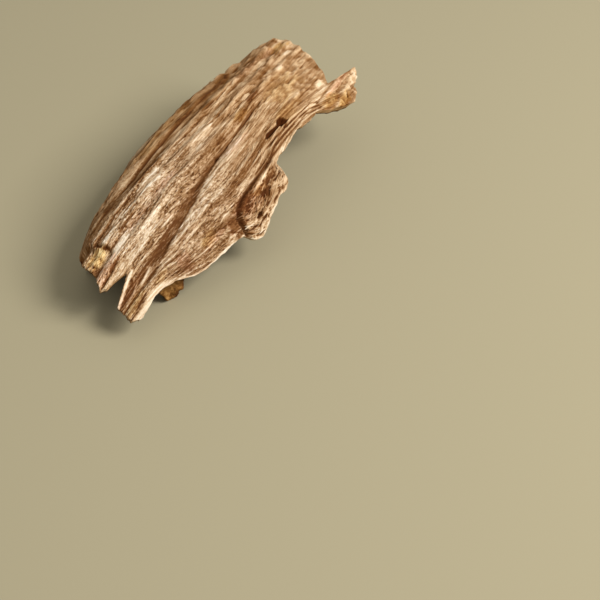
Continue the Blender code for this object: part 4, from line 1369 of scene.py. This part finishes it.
roughen_feet(wood_mesh)
print("With rough feet:", len(wood_mesh.polygons), "faces")

# %% [markdown]
# ## Node trees from Python
#
# A material is a net of nodes, and a sum of two sockets is a node of its own. Written out, that
# takes three lines for each sum. This small class wraps a socket and gives it Python's operators,
# so that an expression adds its own nodes, and one method adds any other node. Geometry Nodes are
# built with the same two classes later on.

# %% Sockets that can be added and multiplied
class Value:
    """A socket of a node tree. One that carries a number takes part in Python expressions."""

    def __init__(self, nodes, socket):
        self.nodes = nodes
        self.socket = socket

    def maths(self, operation, *others):
        sockets = dict(enumerate((self, *others)))
        return self.nodes.node("ShaderNodeMath", {"operation": operation}, sockets)

    def __add__(self, other):
        return self.maths("ADD", other)

    def __sub__(self, other):
        return self.maths("SUBTRACT", other)

    def __rsub__(self, other):
        return self * -1.0 + other

    def __mul__(self, other):
        return self.maths("MULTIPLY", other)

    __radd__ = __add__
    __rmul__ = __mul__

    def clamp(self):
        return self.nodes.node("ShaderNodeClamp", {}, {"Value": self})

    def ramp(self, low, high):
        """0 up to low, 1 from high on, and smooth between them."""
        sockets = {"Value": self, "From Min": low, "From Max": high}
        return self.nodes.node("ShaderNodeMapRange", {"interpolation_type": "SMOOTHSTEP"}, sockets)

    def beside(self, name):
        """Another output of the same node."""
        return Value(self.nodes, self.socket.node.outputs[name])


def weighed(parts, weights):
    """Sum of the named parts, each times its weight."""
    first, *others = [getattr(parts, name) * weight for name, weight in weights.items()]
    return sum(others, first)


print("A plain 3 + 4 x 2 in the same form:", weighed(SimpleNamespace(a=3, b=4), {"a": 1, "b": 2}))

# %% A node tree, and the one method that adds a node to it
class Nodes:
    """A node tree, built from Python."""

    def __init__(self, tree):
        self.tree = tree

    def node(self, kind, settings, sockets, output=0):
        """Add a node: its settings or stops first, then the values or links of its sockets."""
        made = self.tree.nodes.new(kind)
        for name, setting in settings.items():
            if name == "stops":
                self.set_stops(made.color_ramp.elements, setting)
            else:
                setattr(made, name, setting)
        for name, given in sockets.items():
            self.feed(made.inputs[name], given)
        return Value(self, made.outputs[output])

    def set_stops(self, elements, stops):
        """Give a colour ramp its (position, colour) stops."""
        while len(elements) < len(stops):
            elements.new(1.0)
        for element, (position, colour) in zip(elements, stops):
            element.position = position
            element.color = (*colour, 1.0)

    def feed(self, socket, given):
        """Link a socket to a value, or set it to a number, a text or a colour."""
        if isinstance(given, Value):
            self.tree.links.new(given.socket, socket)
        elif isinstance(given, tuple) and socket.type == "RGBA":
            socket.default_value = (*given, 1.0)
        else:
            socket.default_value = given


# %% A material, with the nodes that it is made of
MIX_SHARE, MIX_FIRST, MIX_SECOND, MIX_RESULT = 0, 6, 7, 2


class Shader(Nodes):
    """A material with its Principled shader."""

    def __init__(self, name):
        self.material = bpy.data.materials.new(name)
        self.material.use_nodes = True
        super().__init__(self.material.node_tree)
        self.principled = self.tree.nodes["Principled BSDF"].inputs

    def attribute(self, name, output="Fac"):
        return self.node("ShaderNodeAttribute", {"attribute_name": name}, {}, output)

    def stretched(self, place, lengths):
        """The place measured in these lengths, given along, across and through the wood."""
        scale = tuple(1.0 / length for length in lengths)
        return self.node("ShaderNodeMapping", {}, {"Vector": place, "Scale": scale})

    def noise(self, place, lengths, detail=2.0, roughness=0.55):
        """Noise between -0.5 and 0.5 with waves of about these lengths."""
        stretched = self.stretched(place, lengths)
        sockets = {"Vector": stretched, "Scale": 1.0, "Detail": detail, "Roughness": roughness}
        return self.node("ShaderNodeTexNoise", {}, sockets) - 0.5

    def cells(self, place, lengths, output="Distance"):
        """Cells of about these lengths: the distance from each one's middle, or a colour of its own."""
        sockets = {"Vector": self.stretched(place, lengths), "Scale": 1.0}
        return self.node("ShaderNodeTexVoronoi", {}, sockets, output)

    def colours(self, value, stops):
        """The colour that a ramp gives a value."""
        return self.node("ShaderNodeValToRGB", {"stops": stops}, {"Fac": value})

    def mix(self, share, first, second, way="MIX"):
        """A colour between two others."""
        settings = {"data_type": "RGBA", "blend_type": way}
        sockets = {MIX_SHARE: share, MIX_FIRST: first, MIX_SECOND: second}
        return self.node("ShaderNodeMix", settings, sockets, MIX_RESULT)


print("A mix takes its colours from the sockets", MIX_FIRST, "and", MIX_SECOND)

# %% [markdown]
# ## Weathered wood
#
# The colour is built up as the eye reads it. One number, the tone, runs from dark resin to cream.
# It sums the crest, the rows and threads along the fibres, the pores, broad clouds and the marks,
# and a ramp turns it into a colour, so all the browns belong together. A rosy, an ochre, an olive
# and a warm tint are then multiplied in where the mesh asks for them. The inside and the broken
# edges have ramps of their own.

# %% Colours, as the linear values that the shader wants
WOOD_TONES = [
    (0.00, (0.055, 0.015, 0.003)), (0.25, (0.170, 0.077, 0.025)), (0.50, (0.345, 0.215, 0.118)),
    (0.75, (0.575, 0.430, 0.290)), (1.00, (0.780, 0.695, 0.585)),
]
HOLLOW_TONES = [
    (0.00, (0.030, 0.010, 0.003)), (0.35, (0.110, 0.042, 0.012)), (0.65, (0.260, 0.125, 0.036)),
    (1.00, (0.560, 0.340, 0.130)),
]
BREAK_TONES = [
    (0.00, (0.200, 0.090, 0.030)), (0.50, (0.480, 0.290, 0.135)), (1.00, (0.830, 0.660, 0.460)),
]
OCHRE_TINT = (1.08, 0.98, 0.62)
ROSY_TINT = (1.00, 0.88, 0.90)
OLIVE_TINT = (0.98, 0.98, 0.94)
WARM_TINT = (1.00, 0.96, 0.89)
RESIN_AND_SHADE_COLOUR = (0.150, 0.060, 0.019)
print("Stops of the three ramps:", len(WOOD_TONES), len(HOLLOW_TONES), len(BREAK_TONES))

# %% What runs along the fibres. Sizes are along, across and through the wood, in millimetres
PORE_SIZE, PORE_RIM, PORES_CHOSEN, PORES_RUBBED_OFF = (1.0, 0.29, 1.0), (0.20, 0.52), (0.46, 0.54), 0.6
ROW_SIZE, TICK_SIZE = (14.0, 0.36, 1.0), (0.75, 0.22, 1.0)
CLOUD_SIZE, STREAK_SIZE = (11.0, 4.0, 1.0), (12.0, 1.5, 1.0)
THREAD_SIZES, HAIR_SIZES = ((1.9, 0.26, 1.0), (6.0, 0.60, 1.0)), ((1.1, 0.20, 1.0), (3.0, 0.38, 1.0))


def growing_noise(shader, grain, short, long, stringy):
    """Noise with short waves near the teeth and long ones past the middle."""
    near_teeth = shader.noise(grain, short)
    return near_teeth + (shader.noise(grain, long) - near_teeth) * stringy


def fibre_noises(shader, here):
    """Rows, threads, hairs, ticks, clouds, streaks and pores, all stretched along the fibres."""
    grain = shader.attribute("grain", "Vector")
    pore = shader.cells(grain, PORE_SIZE)
    chosen = shader.cells(grain, PORE_SIZE, "Color")
    unrubbed = 1 - here.pale * PORES_RUBBED_OFF
    return SimpleNamespace(
        rows=shader.noise(grain, ROW_SIZE, detail=1.0),
        threads=growing_noise(shader, grain, *THREAD_SIZES, here.stringy),
        hairs=growing_noise(shader, grain, *HAIR_SIZES, here.stringy),
        ticks=shader.noise(grain, TICK_SIZE, detail=1.0),
        clouds=shader.noise(grain, CLOUD_SIZE, detail=3.0),
        streaks=shader.noise(grain, STREAK_SIZE, detail=1.0),
        pores=(1 - pore.ramp(*PORE_RIM)) * chosen.ramp(*PORES_CHOSEN) * unrubbed,
    )


print("A pore is", PORE_SIZE[0], "mm long and", PORE_SIZE[1], "mm wide")

# %% Colour of the outside. A pair is a weight, and what wear or long threads take off it
SPECKS, SPECK_LEVEL, SPECKS_LOST = {"ticks": 1.16, "pores": -0.58}, 0.048, 0.65
ROW_WEIGHT, THREAD_WEIGHT, HAIR_WEIGHT = (0.75, 0.25), (0.40, -0.25), 0.50
DETAIL_WORN_OFF, DETAIL_RUBBED_OFF = 0.5, 0.25
CLOUD_WEIGHT, STREAK_WEIGHT, STREAKS_ON_FLANK = (0.18, 0.10), (0.38, 0.20), 0.30
# The holes' weight paints them dark, as painted shade.
MARKS = {"pale": 0.24, "shade": 0.17, "resin": -0.34, "flank": -0.06, "pit": -0.45}
CREST_WEIGHT, OUTSIDE_LEVEL = 0.50, 0.25
RESIN_AND_SHADE_STRENGTH, OLIVE_ON_FLANK = 0.45, 0.6


def less(pair, amount):
    """A weight, less where the amount is high."""
    weight, taken_off = pair
    return weight - amount * taken_off


def outside_colour(shader, here, fibre):
    """The weathered outside: one tone through a ramp, and then the tints."""
    specks = (weighed(fibre, SPECKS) + SPECK_LEVEL) * less((1, SPECKS_LOST), here.stringy)
    rows = fibre.rows * less(ROW_WEIGHT, here.stringy)
    threads = fibre.threads * less(THREAD_WEIGHT, here.stringy)
    detail = rows + threads + fibre.hairs * HAIR_WEIGHT + specks
    detail = detail * less((1, DETAIL_WORN_OFF), here.worn) * less((1, DETAIL_RUBBED_OFF), here.pale)
    clouds = fibre.clouds * less(CLOUD_WEIGHT, here.worn)
    streaks = fibre.streaks * (less(STREAK_WEIGHT, here.worn) + here.flank * STREAKS_ON_FLANK)
    # The pale share holds the near edge's lip too, a painted highlight.
    tone = here.crest * CREST_WEIGHT + OUTSIDE_LEVEL + detail + clouds + streaks + weighed(here, MARKS)
    colour = shader.colours(tone, WOOD_TONES)
    # The resin colour also lies on the holes' rims and round the slit's eye, as painted shade.
    resin_and_shade_share = (here.resin * RESIN_AND_SHADE_STRENGTH * (1 - tone) * (1 - here.pit)).clamp()
    colour = shader.mix(resin_and_shade_share, colour, RESIN_AND_SHADE_COLOUR)
    colour = shader.mix(here.rosy, colour, ROSY_TINT, "MULTIPLY")
    colour = shader.mix(here.ochre, colour, OCHRE_TINT, "MULTIPLY")
    colour = shader.mix(here.flank * OLIVE_ON_FLANK, colour, OLIVE_TINT, "MULTIPLY")
    return shader.mix(here.warm, colour, WARM_TINT, "MULTIPLY")


print("The crest of a thread counts for", CREST_WEIGHT, "of the tone")

# %% Colours of the hollow and the break. Sizes in the hollow are in metres
CAVE_WAVES, CRUMB_WAVES = (0.0019, 0.0016, 0.0016), (0.0008, 0.0005, 0.0005)
RUST_WAVES, LOW_MOTTLE_WAVES = (0.009, 0.006, 0.006), (0.0032, 0.0032, 0.0045)
LOW_MOTTLE_BELOW, LOW_MOTTLE_WEIGHT, LOW_MOTTLE_LEVEL = (0.002, 0.014), 1.1, 0.05
HOLLOW_WEIGHTS, HOLLOW_LEVEL, FIBRES_IN_HOLLOW = {"caves": 0.9, "rust": 0.8, "crumbs": 0.7}, 0.12, 0.25
HOLLOW_RELIEF = {"caves": 0.8, "crumbs": 0.7}
BREAK_CREST, BREAK_LEVEL, BREAK_FIBRES = 0.45, 0.42, {"threads": 0.9, "hairs": 0.4}
# The pale share brightens the broken edge as well, where the lip's painted highlight reaches it.
BREAK_MARKS = {"pale": 0.35, "resin": -0.35, "end_grain": -0.12}


def hollow_colour(shader, here, fibre, place):
    """The rotted underside, mottled in lumps and a little darker low down. Its caves and crumbs are relief,
    too.
    """
    rot = SimpleNamespace(
        caves=shader.noise(place, CAVE_WAVES, detail=3.0),
        crumbs=shader.noise(place, CRUMB_WAVES),
        rust=shader.noise(place, RUST_WAVES),
    )
    lumps = shader.noise(place, LOW_MOTTLE_WAVES, detail=4.0, roughness=0.65)
    height = shader.node("ShaderNodeSeparateXYZ", {}, {"Vector": place}, "Z")
    # Near the floor the tone is mottled in lumps and a little darker on average.
    low_mottle = (1 - height.ramp(*LOW_MOTTLE_BELOW)) * (lumps * LOW_MOTTLE_WEIGHT - LOW_MOTTLE_LEVEL)
    tone = here.crest * CREST_WEIGHT + HOLLOW_LEVEL + weighed(rot, HOLLOW_WEIGHTS) + low_mottle
    tone = tone + (fibre.rows + fibre.hairs) * FIBRES_IN_HOLLOW
    return shader.colours(tone, HOLLOW_TONES), weighed(rot, HOLLOW_RELIEF)


def break_colour(shader, here, fibre):
    """The broken edges, paler than the rest, and darker where the fibres end."""
    tone = (here.crest - 0.5) * BREAK_CREST + BREAK_LEVEL + weighed(fibre, BREAK_FIBRES)
    return shader.colours(tone + weighed(here, BREAK_MARKS), BREAK_TONES)


print("Earth lies below", LOW_MOTTLE_BELOW[1] / MM, "mm")

# %% The wood's material
ATTRIBUTES_READ = ("crest", "resin", "inside", "broken", "end_grain", *outer_marks)
ROUGHNESS, RESIN_GLOSS, SPECULAR = 0.85, 0.20, 0.05
BUMP_STRENGTH, BUMP_DISTANCE = 0.6, 0.0003
FIBRE_RELIEF = {"rows": 0.5, "threads": 0.5, "hairs": 0.4, "pores": -0.5}
HOLLOW_FROM, BREAK_UNTIL = (0.55, 1.0), (0.6, 1.0)


def weathered_wood():
    """The wood's material. What differs from place to place is read from the mesh's attributes."""
    shader = Shader("weathered_wood")
    here = SimpleNamespace(**{name: shader.attribute(name) for name in ATTRIBUTES_READ})
    fibre = fibre_noises(shader, here)
    place = shader.node("ShaderNodeTexCoord", {}, {}, "Object")
    hollow, hollow_relief = hollow_colour(shader, here, fibre, place)
    on_break = here.broken * (1 - here.inside.ramp(*BREAK_UNTIL))
    colour = shader.mix(here.inside.ramp(*HOLLOW_FROM), outside_colour(shader, here, fibre), hollow)
    colour = shader.mix(on_break, colour, break_colour(shader, here, fibre))
    relief = weighed(fibre, FIBRE_RELIEF) + hollow_relief * here.inside
    heights = {"Height": relief, "Strength": BUMP_STRENGTH, "Distance": BUMP_DISTANCE}
    shader.feed(shader.principled["Base Color"], colour)
    shader.feed(shader.principled["Roughness"], ROUGHNESS - here.resin * RESIN_GLOSS)
    shader.feed(shader.principled["Normal"], shader.node("ShaderNodeBump", {}, heights, "Normal"))
    shader.feed(shader.principled["Specular IOR Level"], SPECULAR)
    return shader.material


wood_material = weathered_wood()
wood_mesh.materials.clear()
wood_mesh.materials.append(wood_material)
wood_mesh.shade_smooth()
print("Material nodes:", len(wood_material.node_tree.nodes))

# %% [markdown]
# ## Raised fibres
#
# Loose fibres lie on the wood like combed hair, and stick out of its broken ends. Placing them by
# hand would take days, and particles would be lost when the piece leaves Blender. Geometry Nodes
# scatter points over the wood, turn each along the fibre below it, and put a thin spindle there.
# The spindles inherit the wood's attributes, so a fibre that lies in resin is dark as well.

# %% A spindle, and how it lies on the wood
SPINDLE_POINTS, SPINDLE_SIDES, SPINDLE_TIP = 5, 4, 0.06
LENGTH_SPREAD, THICKNESS_SPREAD = (0.45, 1.0), (0.6, 1.1)
LENGTH_SEED, THICKNESS_SEED = 5, 6
RANDOM_FROM, RANDOM_TO, RANDOM_RESULT = 2, 3, 1


def spindle(nodes):
    """A spindle one unit long and one thick, which narrows to both ends."""
    ends = {"Start": (-0.5, 0.0, 0.0), "End": (0.5, 0.0, 0.0)}
    line = nodes.node("GeometryNodeCurvePrimitiveLine", {}, ends)
    line = nodes.node("GeometryNodeResampleCurve", {}, {"Curve": line, "Count": SPINDLE_POINTS})
    factor = nodes.node("GeometryNodeSplineParameter", {}, {}, "Factor")
    swell = (factor * math.pi).maths("SINE") + SPINDLE_TIP
    line = nodes.node("GeometryNodeSetCurveRadius", {}, {"Curve": line, "Radius": swell})
    ring = {"Resolution": SPINDLE_SIDES, "Radius": 0.5}
    ring = nodes.node("GeometryNodeCurvePrimitiveCircle", {}, ring)
    sockets = {"Curve": line, "Profile Curve": ring, "Scale": swell, "Fill Caps": True}
    return nodes.node("GeometryNodeCurveToMesh", {}, sockets)


def random_between(nodes, low, high, seed=0):
    """A number for each fibre."""
    sockets = {RANDOM_FROM: low, RANDOM_TO: high, "Seed": seed}
    return nodes.node("FunctionNodeRandomValue", {"data_type": "FLOAT"}, sockets, RANDOM_RESULT)


def lying_rotation(nodes, given, normal):
    """Rotation that lays a spindle on the surface, along the fibre and turned a little."""
    way = {"Name": "fibre_way"}
    way = nodes.node("GeometryNodeInputNamedAttribute", {"data_type": "FLOAT_VECTOR"}, way)
    align = "FunctionNodeAlignRotationToVector"
    rotation = nodes.node(align, {"axis": "Z"}, {"Vector": normal})
    rotation = nodes.node(align, {"axis": "X", "pivot_axis": "Z"}, {"Rotation": rotation, "Vector": way})
    turn = random_between(nodes, given["Turn"] * -1.0, given["Turn"])
    turn = nodes.node("ShaderNodeCombineXYZ", {}, {"Z": turn})
    turn = nodes.node("FunctionNodeEulerToRotation", {}, {"Euler": turn})
    sockets = {"Rotation": rotation, "Rotate By": turn}
    return nodes.node("FunctionNodeRotateRotation", {"rotation_space": "LOCAL"}, sockets)


print("A spindle is made of", SPINDLE_POINTS, "rings of", SPINDLE_SIDES, "points")

# %% A node tree that lays spindles along the fibres
FIBRE_INPUTS = {
    "Geometry": "Geometry", "Fibres per square metre": "Float", "Length": "Float",
    "Thickness": "Float", "Turn": "Float", "Sink": "Float", "Where": "String", "Seed": "Int",
    "Material": "Material",
}


def named_inputs(nodes):
    """Give the tree its inputs and its output, and return the inputs by name."""
    new_socket = nodes.tree.interface.new_socket
    for name, kind in FIBRE_INPUTS.items():
        new_socket(name, in_out="INPUT", socket_type="NodeSocket" + kind)
    new_socket("Geometry", in_out="OUTPUT", socket_type="NodeSocketGeometry")
    outputs = nodes.tree.nodes.new("NodeGroupInput").outputs
    return {name: Value(nodes, outputs[name]) for name in FIBRE_INPUTS}


def spindle_tree():
    """Spindles on a surface: how many, how long, how thick, how far turned, and which seed."""
    nodes = Nodes(bpy.data.node_groups.new("raised_fibres", "GeometryNodeTree"))
    given = named_inputs(nodes)
    where = {"Name": given["Where"]}
    where = nodes.node("GeometryNodeInputNamedAttribute", {"data_type": "FLOAT"}, where)
    density = where * given["Fibres per square metre"]
    sockets = {"Mesh": given["Geometry"], "Density": density, "Seed": given["Seed"]}
    points = nodes.node("GeometryNodeDistributePointsOnFaces", {"distribute_method": "RANDOM"}, sockets)
    length = random_between(nodes, *LENGTH_SPREAD, LENGTH_SEED) * given["Length"]
    width = random_between(nodes, *THICKNESS_SPREAD, THICKNESS_SEED) * given["Thickness"]
    scale = nodes.node("ShaderNodeCombineXYZ", {}, {"X": length, "Y": width, "Z": width})
    rotation = lying_rotation(nodes, given, points.beside("Normal"))
    sockets = {"Points": points, "Instance": spindle(nodes), "Rotation": rotation, "Scale": scale}
    fibres = nodes.node("GeometryNodeInstanceOnPoints", {}, sockets)
    down = nodes.node("ShaderNodeCombineXYZ", {}, {"Z": given["Sink"] * -1.0})
    sockets = {"Instances": fibres, "Translation": down, "Local Space": True}
    fibres = nodes.node("GeometryNodeTranslateInstances", {}, sockets)
    fibres = nodes.node("GeometryNodeRealizeInstances", {}, {"Geometry": fibres})
    sockets = {"Geometry": fibres, "Material": given["Material"]}
    fibres = nodes.node("GeometryNodeSetMaterial", {}, sockets)
    nodes.feed(nodes.tree.nodes.new("NodeGroupOutput").inputs[0], fibres)
    return nodes.tree


tree = spindle_tree()
print("Node tree", tree.name, "with", len(tree.nodes), "nodes")


# %% [markdown]
# Four runs of the same tree: short fibres near the teeth, long ones past the middle, crossing
# strands on the lobe, and splinters that stick out of the broken ends.

# %% Where each kind of fibre grows, written on the wood
FREE_OF_ENDS, FREE_OF_SLIT = (1.0, 5.0), (0.8, 1.6)
SPLINTERS_BEFORE = 20.0
FIBRES_ABOVE, STRANDS_BELOW = 0.45, 0.5
NUB_SMOOTHNESS = 0.8


def attribute_values(mesh, name):
    """One of the mesh's number attributes as an array."""
    numbers = np.zeros(len(mesh.vertices), dtype=np.float32)
    mesh.attributes[name].data.foreach_get("value", numbers)
    return numbers


all_x = attribute_values(wood_mesh, "along_piece")
all_arc = attribute_values(wood_mesh, "round_piece")
on_outside = attribute_values(wood_mesh, "inside") < 0.01
zone = zones(all_x, all_arc)
from_teeth = all_x - sharp(TEETH_END, all_arc)
from_nub = sharp(NUB_END, all_arc) - all_x
from_edge = sharp(NEAR_EDGE, all_x) - all_arc
free = step(*FREE_OF_ENDS, np.minimum.reduce([from_teeth, from_nub, from_edge + 1.0]))
high = attribute_values(wood_mesh, "crest") > FIBRES_ABOVE
plain = (1 - zone["lobe"]) * (1 - zone["ledge"]) * (1 - NUB_SMOOTHNESS * zone["nub"])
plain = plain * step(*FREE_OF_SLIT, from_line(all_x, all_arc, [SLIT_LOW, SLIT_HIGH])) * high
long_share = stringiness(all_x)
clear_of_resin_and_shade = attribute_values(wood_mesh, "resin") < STRANDS_BELOW
torn_end = attribute_values(wood_mesh, "end_grain")
write(wood_mesh, "short_fibres", on_outside * free * plain * (1 - long_share))
write(wood_mesh, "long_fibres", on_outside * free * plain * long_share)
write(wood_mesh, "lobe_strands", on_outside * free * zone["lobe"] * clear_of_resin_and_shade)
write(wood_mesh, "end_splinters", torn_end * (all_x < SPLINTERS_BEFORE))
print("Vertices with long fibres:", np.count_nonzero(attribute_values(wood_mesh, "long_fibres")))

# %% Lay the fibres
FIBRE_SIZES = ("Fibres per square metre", "Length", "Thickness", "Turn", "Sink", "Seed")
FIBRE_KINDS = {
    "long_fibres": (400000.0, 0.0045, 0.00026, 0.05, 0.00006, 3),
    "short_fibres": (900000.0, 0.0018, 0.00028, 0.10, 0.00008, 6),
    "lobe_strands": (700000.0, 0.0042, 0.00042, 0.38, 0.00010, 4),
    "end_splinters": (700000.0, 0.0014, 0.00030, 0.12, 0.0, 5),
}


def lay_fibres(name, sizes):
    """Run the tree on a copy of the wood, and keep the fibres as a plain mesh."""
    thing = bpy.data.objects.new(name, wood_mesh.copy())
    bpy.context.scene.collection.objects.link(thing)
    modifier = thing.modifiers.new("fibres", "NODES")
    modifier.node_group = tree
    sockets = {item.name: item.identifier for item in tree.interface.items_tree if item.in_out == "INPUT"}
    for input_name, size in zip(FIBRE_SIZES, sizes):
        modifier[sockets[input_name]] = size
    modifier[sockets["Where"]] = name
    modifier[sockets["Material"]] = wood_material
    bake_modifiers(thing)
    return thing


def keep_in_box(mesh):
    """Move any vertex that stands out of the solid's box back to its side."""
    places = np.zeros(3 * len(mesh.vertices), dtype=np.float32)
    mesh.vertices.foreach_get("co", places)
    places = np.clip(places.reshape(-1, 3), np.array(CAD_BOX[0]), np.array(CAD_BOX[1]))
    mesh.vertices.foreach_set("co", places.astype(np.float32).ravel())
    mesh.update()


fibre_things = [lay_fibres(name, sizes) for name, sizes in FIBRE_KINDS.items()]
for thing in fibre_things:
    keep_in_box(thing.data)
    thing.data.shade_smooth()
    print(thing.name, len(thing.data.polygons), "faces")

# %% [markdown]
# ## Hang the pieces on the solid
#
# Blender's own check takes out any face that came up twice. It runs after the fibres are laid,
# because it numbers the faces anew. The wood stands for the solid piece, which is then hidden, and
# the fibres lie on it.

# %% Tell the frame what belongs to what
wood_mesh.validate()
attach(wood, "root")
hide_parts(NODE)
for thing in fibre_things:
    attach(thing, "root")
print("Pieces:", [thing.name for thing in [wood] + fibre_things])

# %% [markdown]
# ## Display colours
#
# Blender's usual view transform greys bright colours, as a film would. The plain one shows each
# colour as it was mixed, which suits a pale thing in soft light.

# %% Plain display colours
bpy.context.scene.view_settings.view_transform = "Standard"
print("View transform:", bpy.context.scene.view_settings.view_transform)

# %% [markdown]
# ## Floor, light and camera
#
# The piece lies on a plain, pale, warm-grey floor. A large soft lamp to the right of the camera
# and a little in front of the piece models the ridges, and a dim surround fills the shadows. The
# camera looks down at 38 degrees from the toothed end, with a long lens, as in the photograph.

# %% A plain floor
FLOOR_SIZE, FLOOR_DROP = 4.0, 0.0001
FLOOR_COLOUR, FLOOR_ROUGHNESS = (0.33, 0.300, 0.205), 0.9


def plain_floor():
    """A large plane just below the piece."""
    half = FLOOR_SIZE / 2
    mesh = bpy.data.meshes.new("floor")
    corners = [(-half, -half, 0), (half, -half, 0), (half, half, 0), (-half, half, 0)]
    mesh.from_pydata(corners, [], [(0, 1, 2, 3)])
    thing = bpy.data.objects.new("floor", mesh)
    thing.location.z = -FLOOR_DROP
    bpy.context.scene.collection.objects.link(thing)
    paint = Shader("floor")
    paint.feed(paint.principled["Base Color"], FLOOR_COLOUR)
    paint.feed(paint.principled["Roughness"], FLOOR_ROUGHNESS)
    mesh.materials.append(paint.material)
    thing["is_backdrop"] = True


plain_floor()
print("Floor", FLOOR_SIZE, "m wide")

# %% The camera
LOOK_AT = Vector((-0.0277, -0.0395, 0.0))
LOOK_FROM_AZIMUTH, LOOK_FROM_ELEVATION = math.radians(-66.0), math.radians(38.0)
LOOK_DISTANCE = 0.4556
SENSOR, LENS = 36.0, 102.0


def direction(azimuth, elevation):
    """Direction from the piece towards a place round it. Azimuth 0 is at -Y, and 90 is at +X."""
    level = math.cos(elevation)
    return Vector((math.sin(azimuth) * level, -math.cos(azimuth) * level, math.sin(elevation)))


camera = bpy.data.objects.new("camera", bpy.data.cameras.new("camera"))
camera.data.sensor_width = SENSOR
camera.data.lens = LENS
camera_way = direction(LOOK_FROM_AZIMUTH, LOOK_FROM_ELEVATION)
camera.location = LOOK_AT + camera_way * LOOK_DISTANCE
camera.rotation_euler = camera_way.to_track_quat("Z", "Y").to_euler()
bpy.context.scene.collection.objects.link(camera)
bpy.context.scene.camera = camera
print("Camera at", [round(place, 3) for place in camera.location])

# %% The lamps
KEY_AZIMUTH, KEY_ELEVATION = math.radians(8.0), math.radians(42.0)
KEY_DISTANCE, KEY_SIZE, KEY_POWER = 0.9, 0.45, 10.3
KEY_COLOUR = (1.0, 0.95, 0.87)
SURROUND = (0.92, 0.87, 0.76)
SURROUND_STRENGTH = 0.58


def soft_lamp(name, azimuth, elevation, distance, size, power, colour):
    """A square lamp that faces the piece."""
    lamp = bpy.data.objects.new(name, bpy.data.lights.new(name, "AREA"))
    lamp.data.size = size
    lamp.data.energy = power
    lamp.data.color = colour
    way = direction(azimuth, elevation)
    lamp.location = way * distance
    lamp.rotation_euler = way.to_track_quat("Z", "Y").to_euler()
    bpy.context.scene.collection.objects.link(lamp)


soft_lamp("key", KEY_AZIMUTH, KEY_ELEVATION, KEY_DISTANCE, KEY_SIZE, KEY_POWER, KEY_COLOUR)
world = bpy.data.worlds.new("surround")
world.use_nodes = True
world.node_tree.nodes["Background"].inputs["Color"].default_value = (*SURROUND, 1.0)
world.node_tree.nodes["Background"].inputs["Strength"].default_value = SURROUND_STRENGTH
bpy.context.scene.world = world
print("Lamp of", KEY_POWER, "W, and a surround of strength", SURROUND_STRENGTH)

# %% [markdown]
# ## The size of the piece, and the finish
#
# The piece's points were kept inside the solid's box, and both boxes are printed. The
# finished piece has to stay inside the solid's box.

# %% Boxes and the last line
boxes = {"cad": CAD_BOX, "visual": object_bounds()}
boxes = {name: [list(corner) for corner in box] for name, box in boxes.items()}
print(boxes)
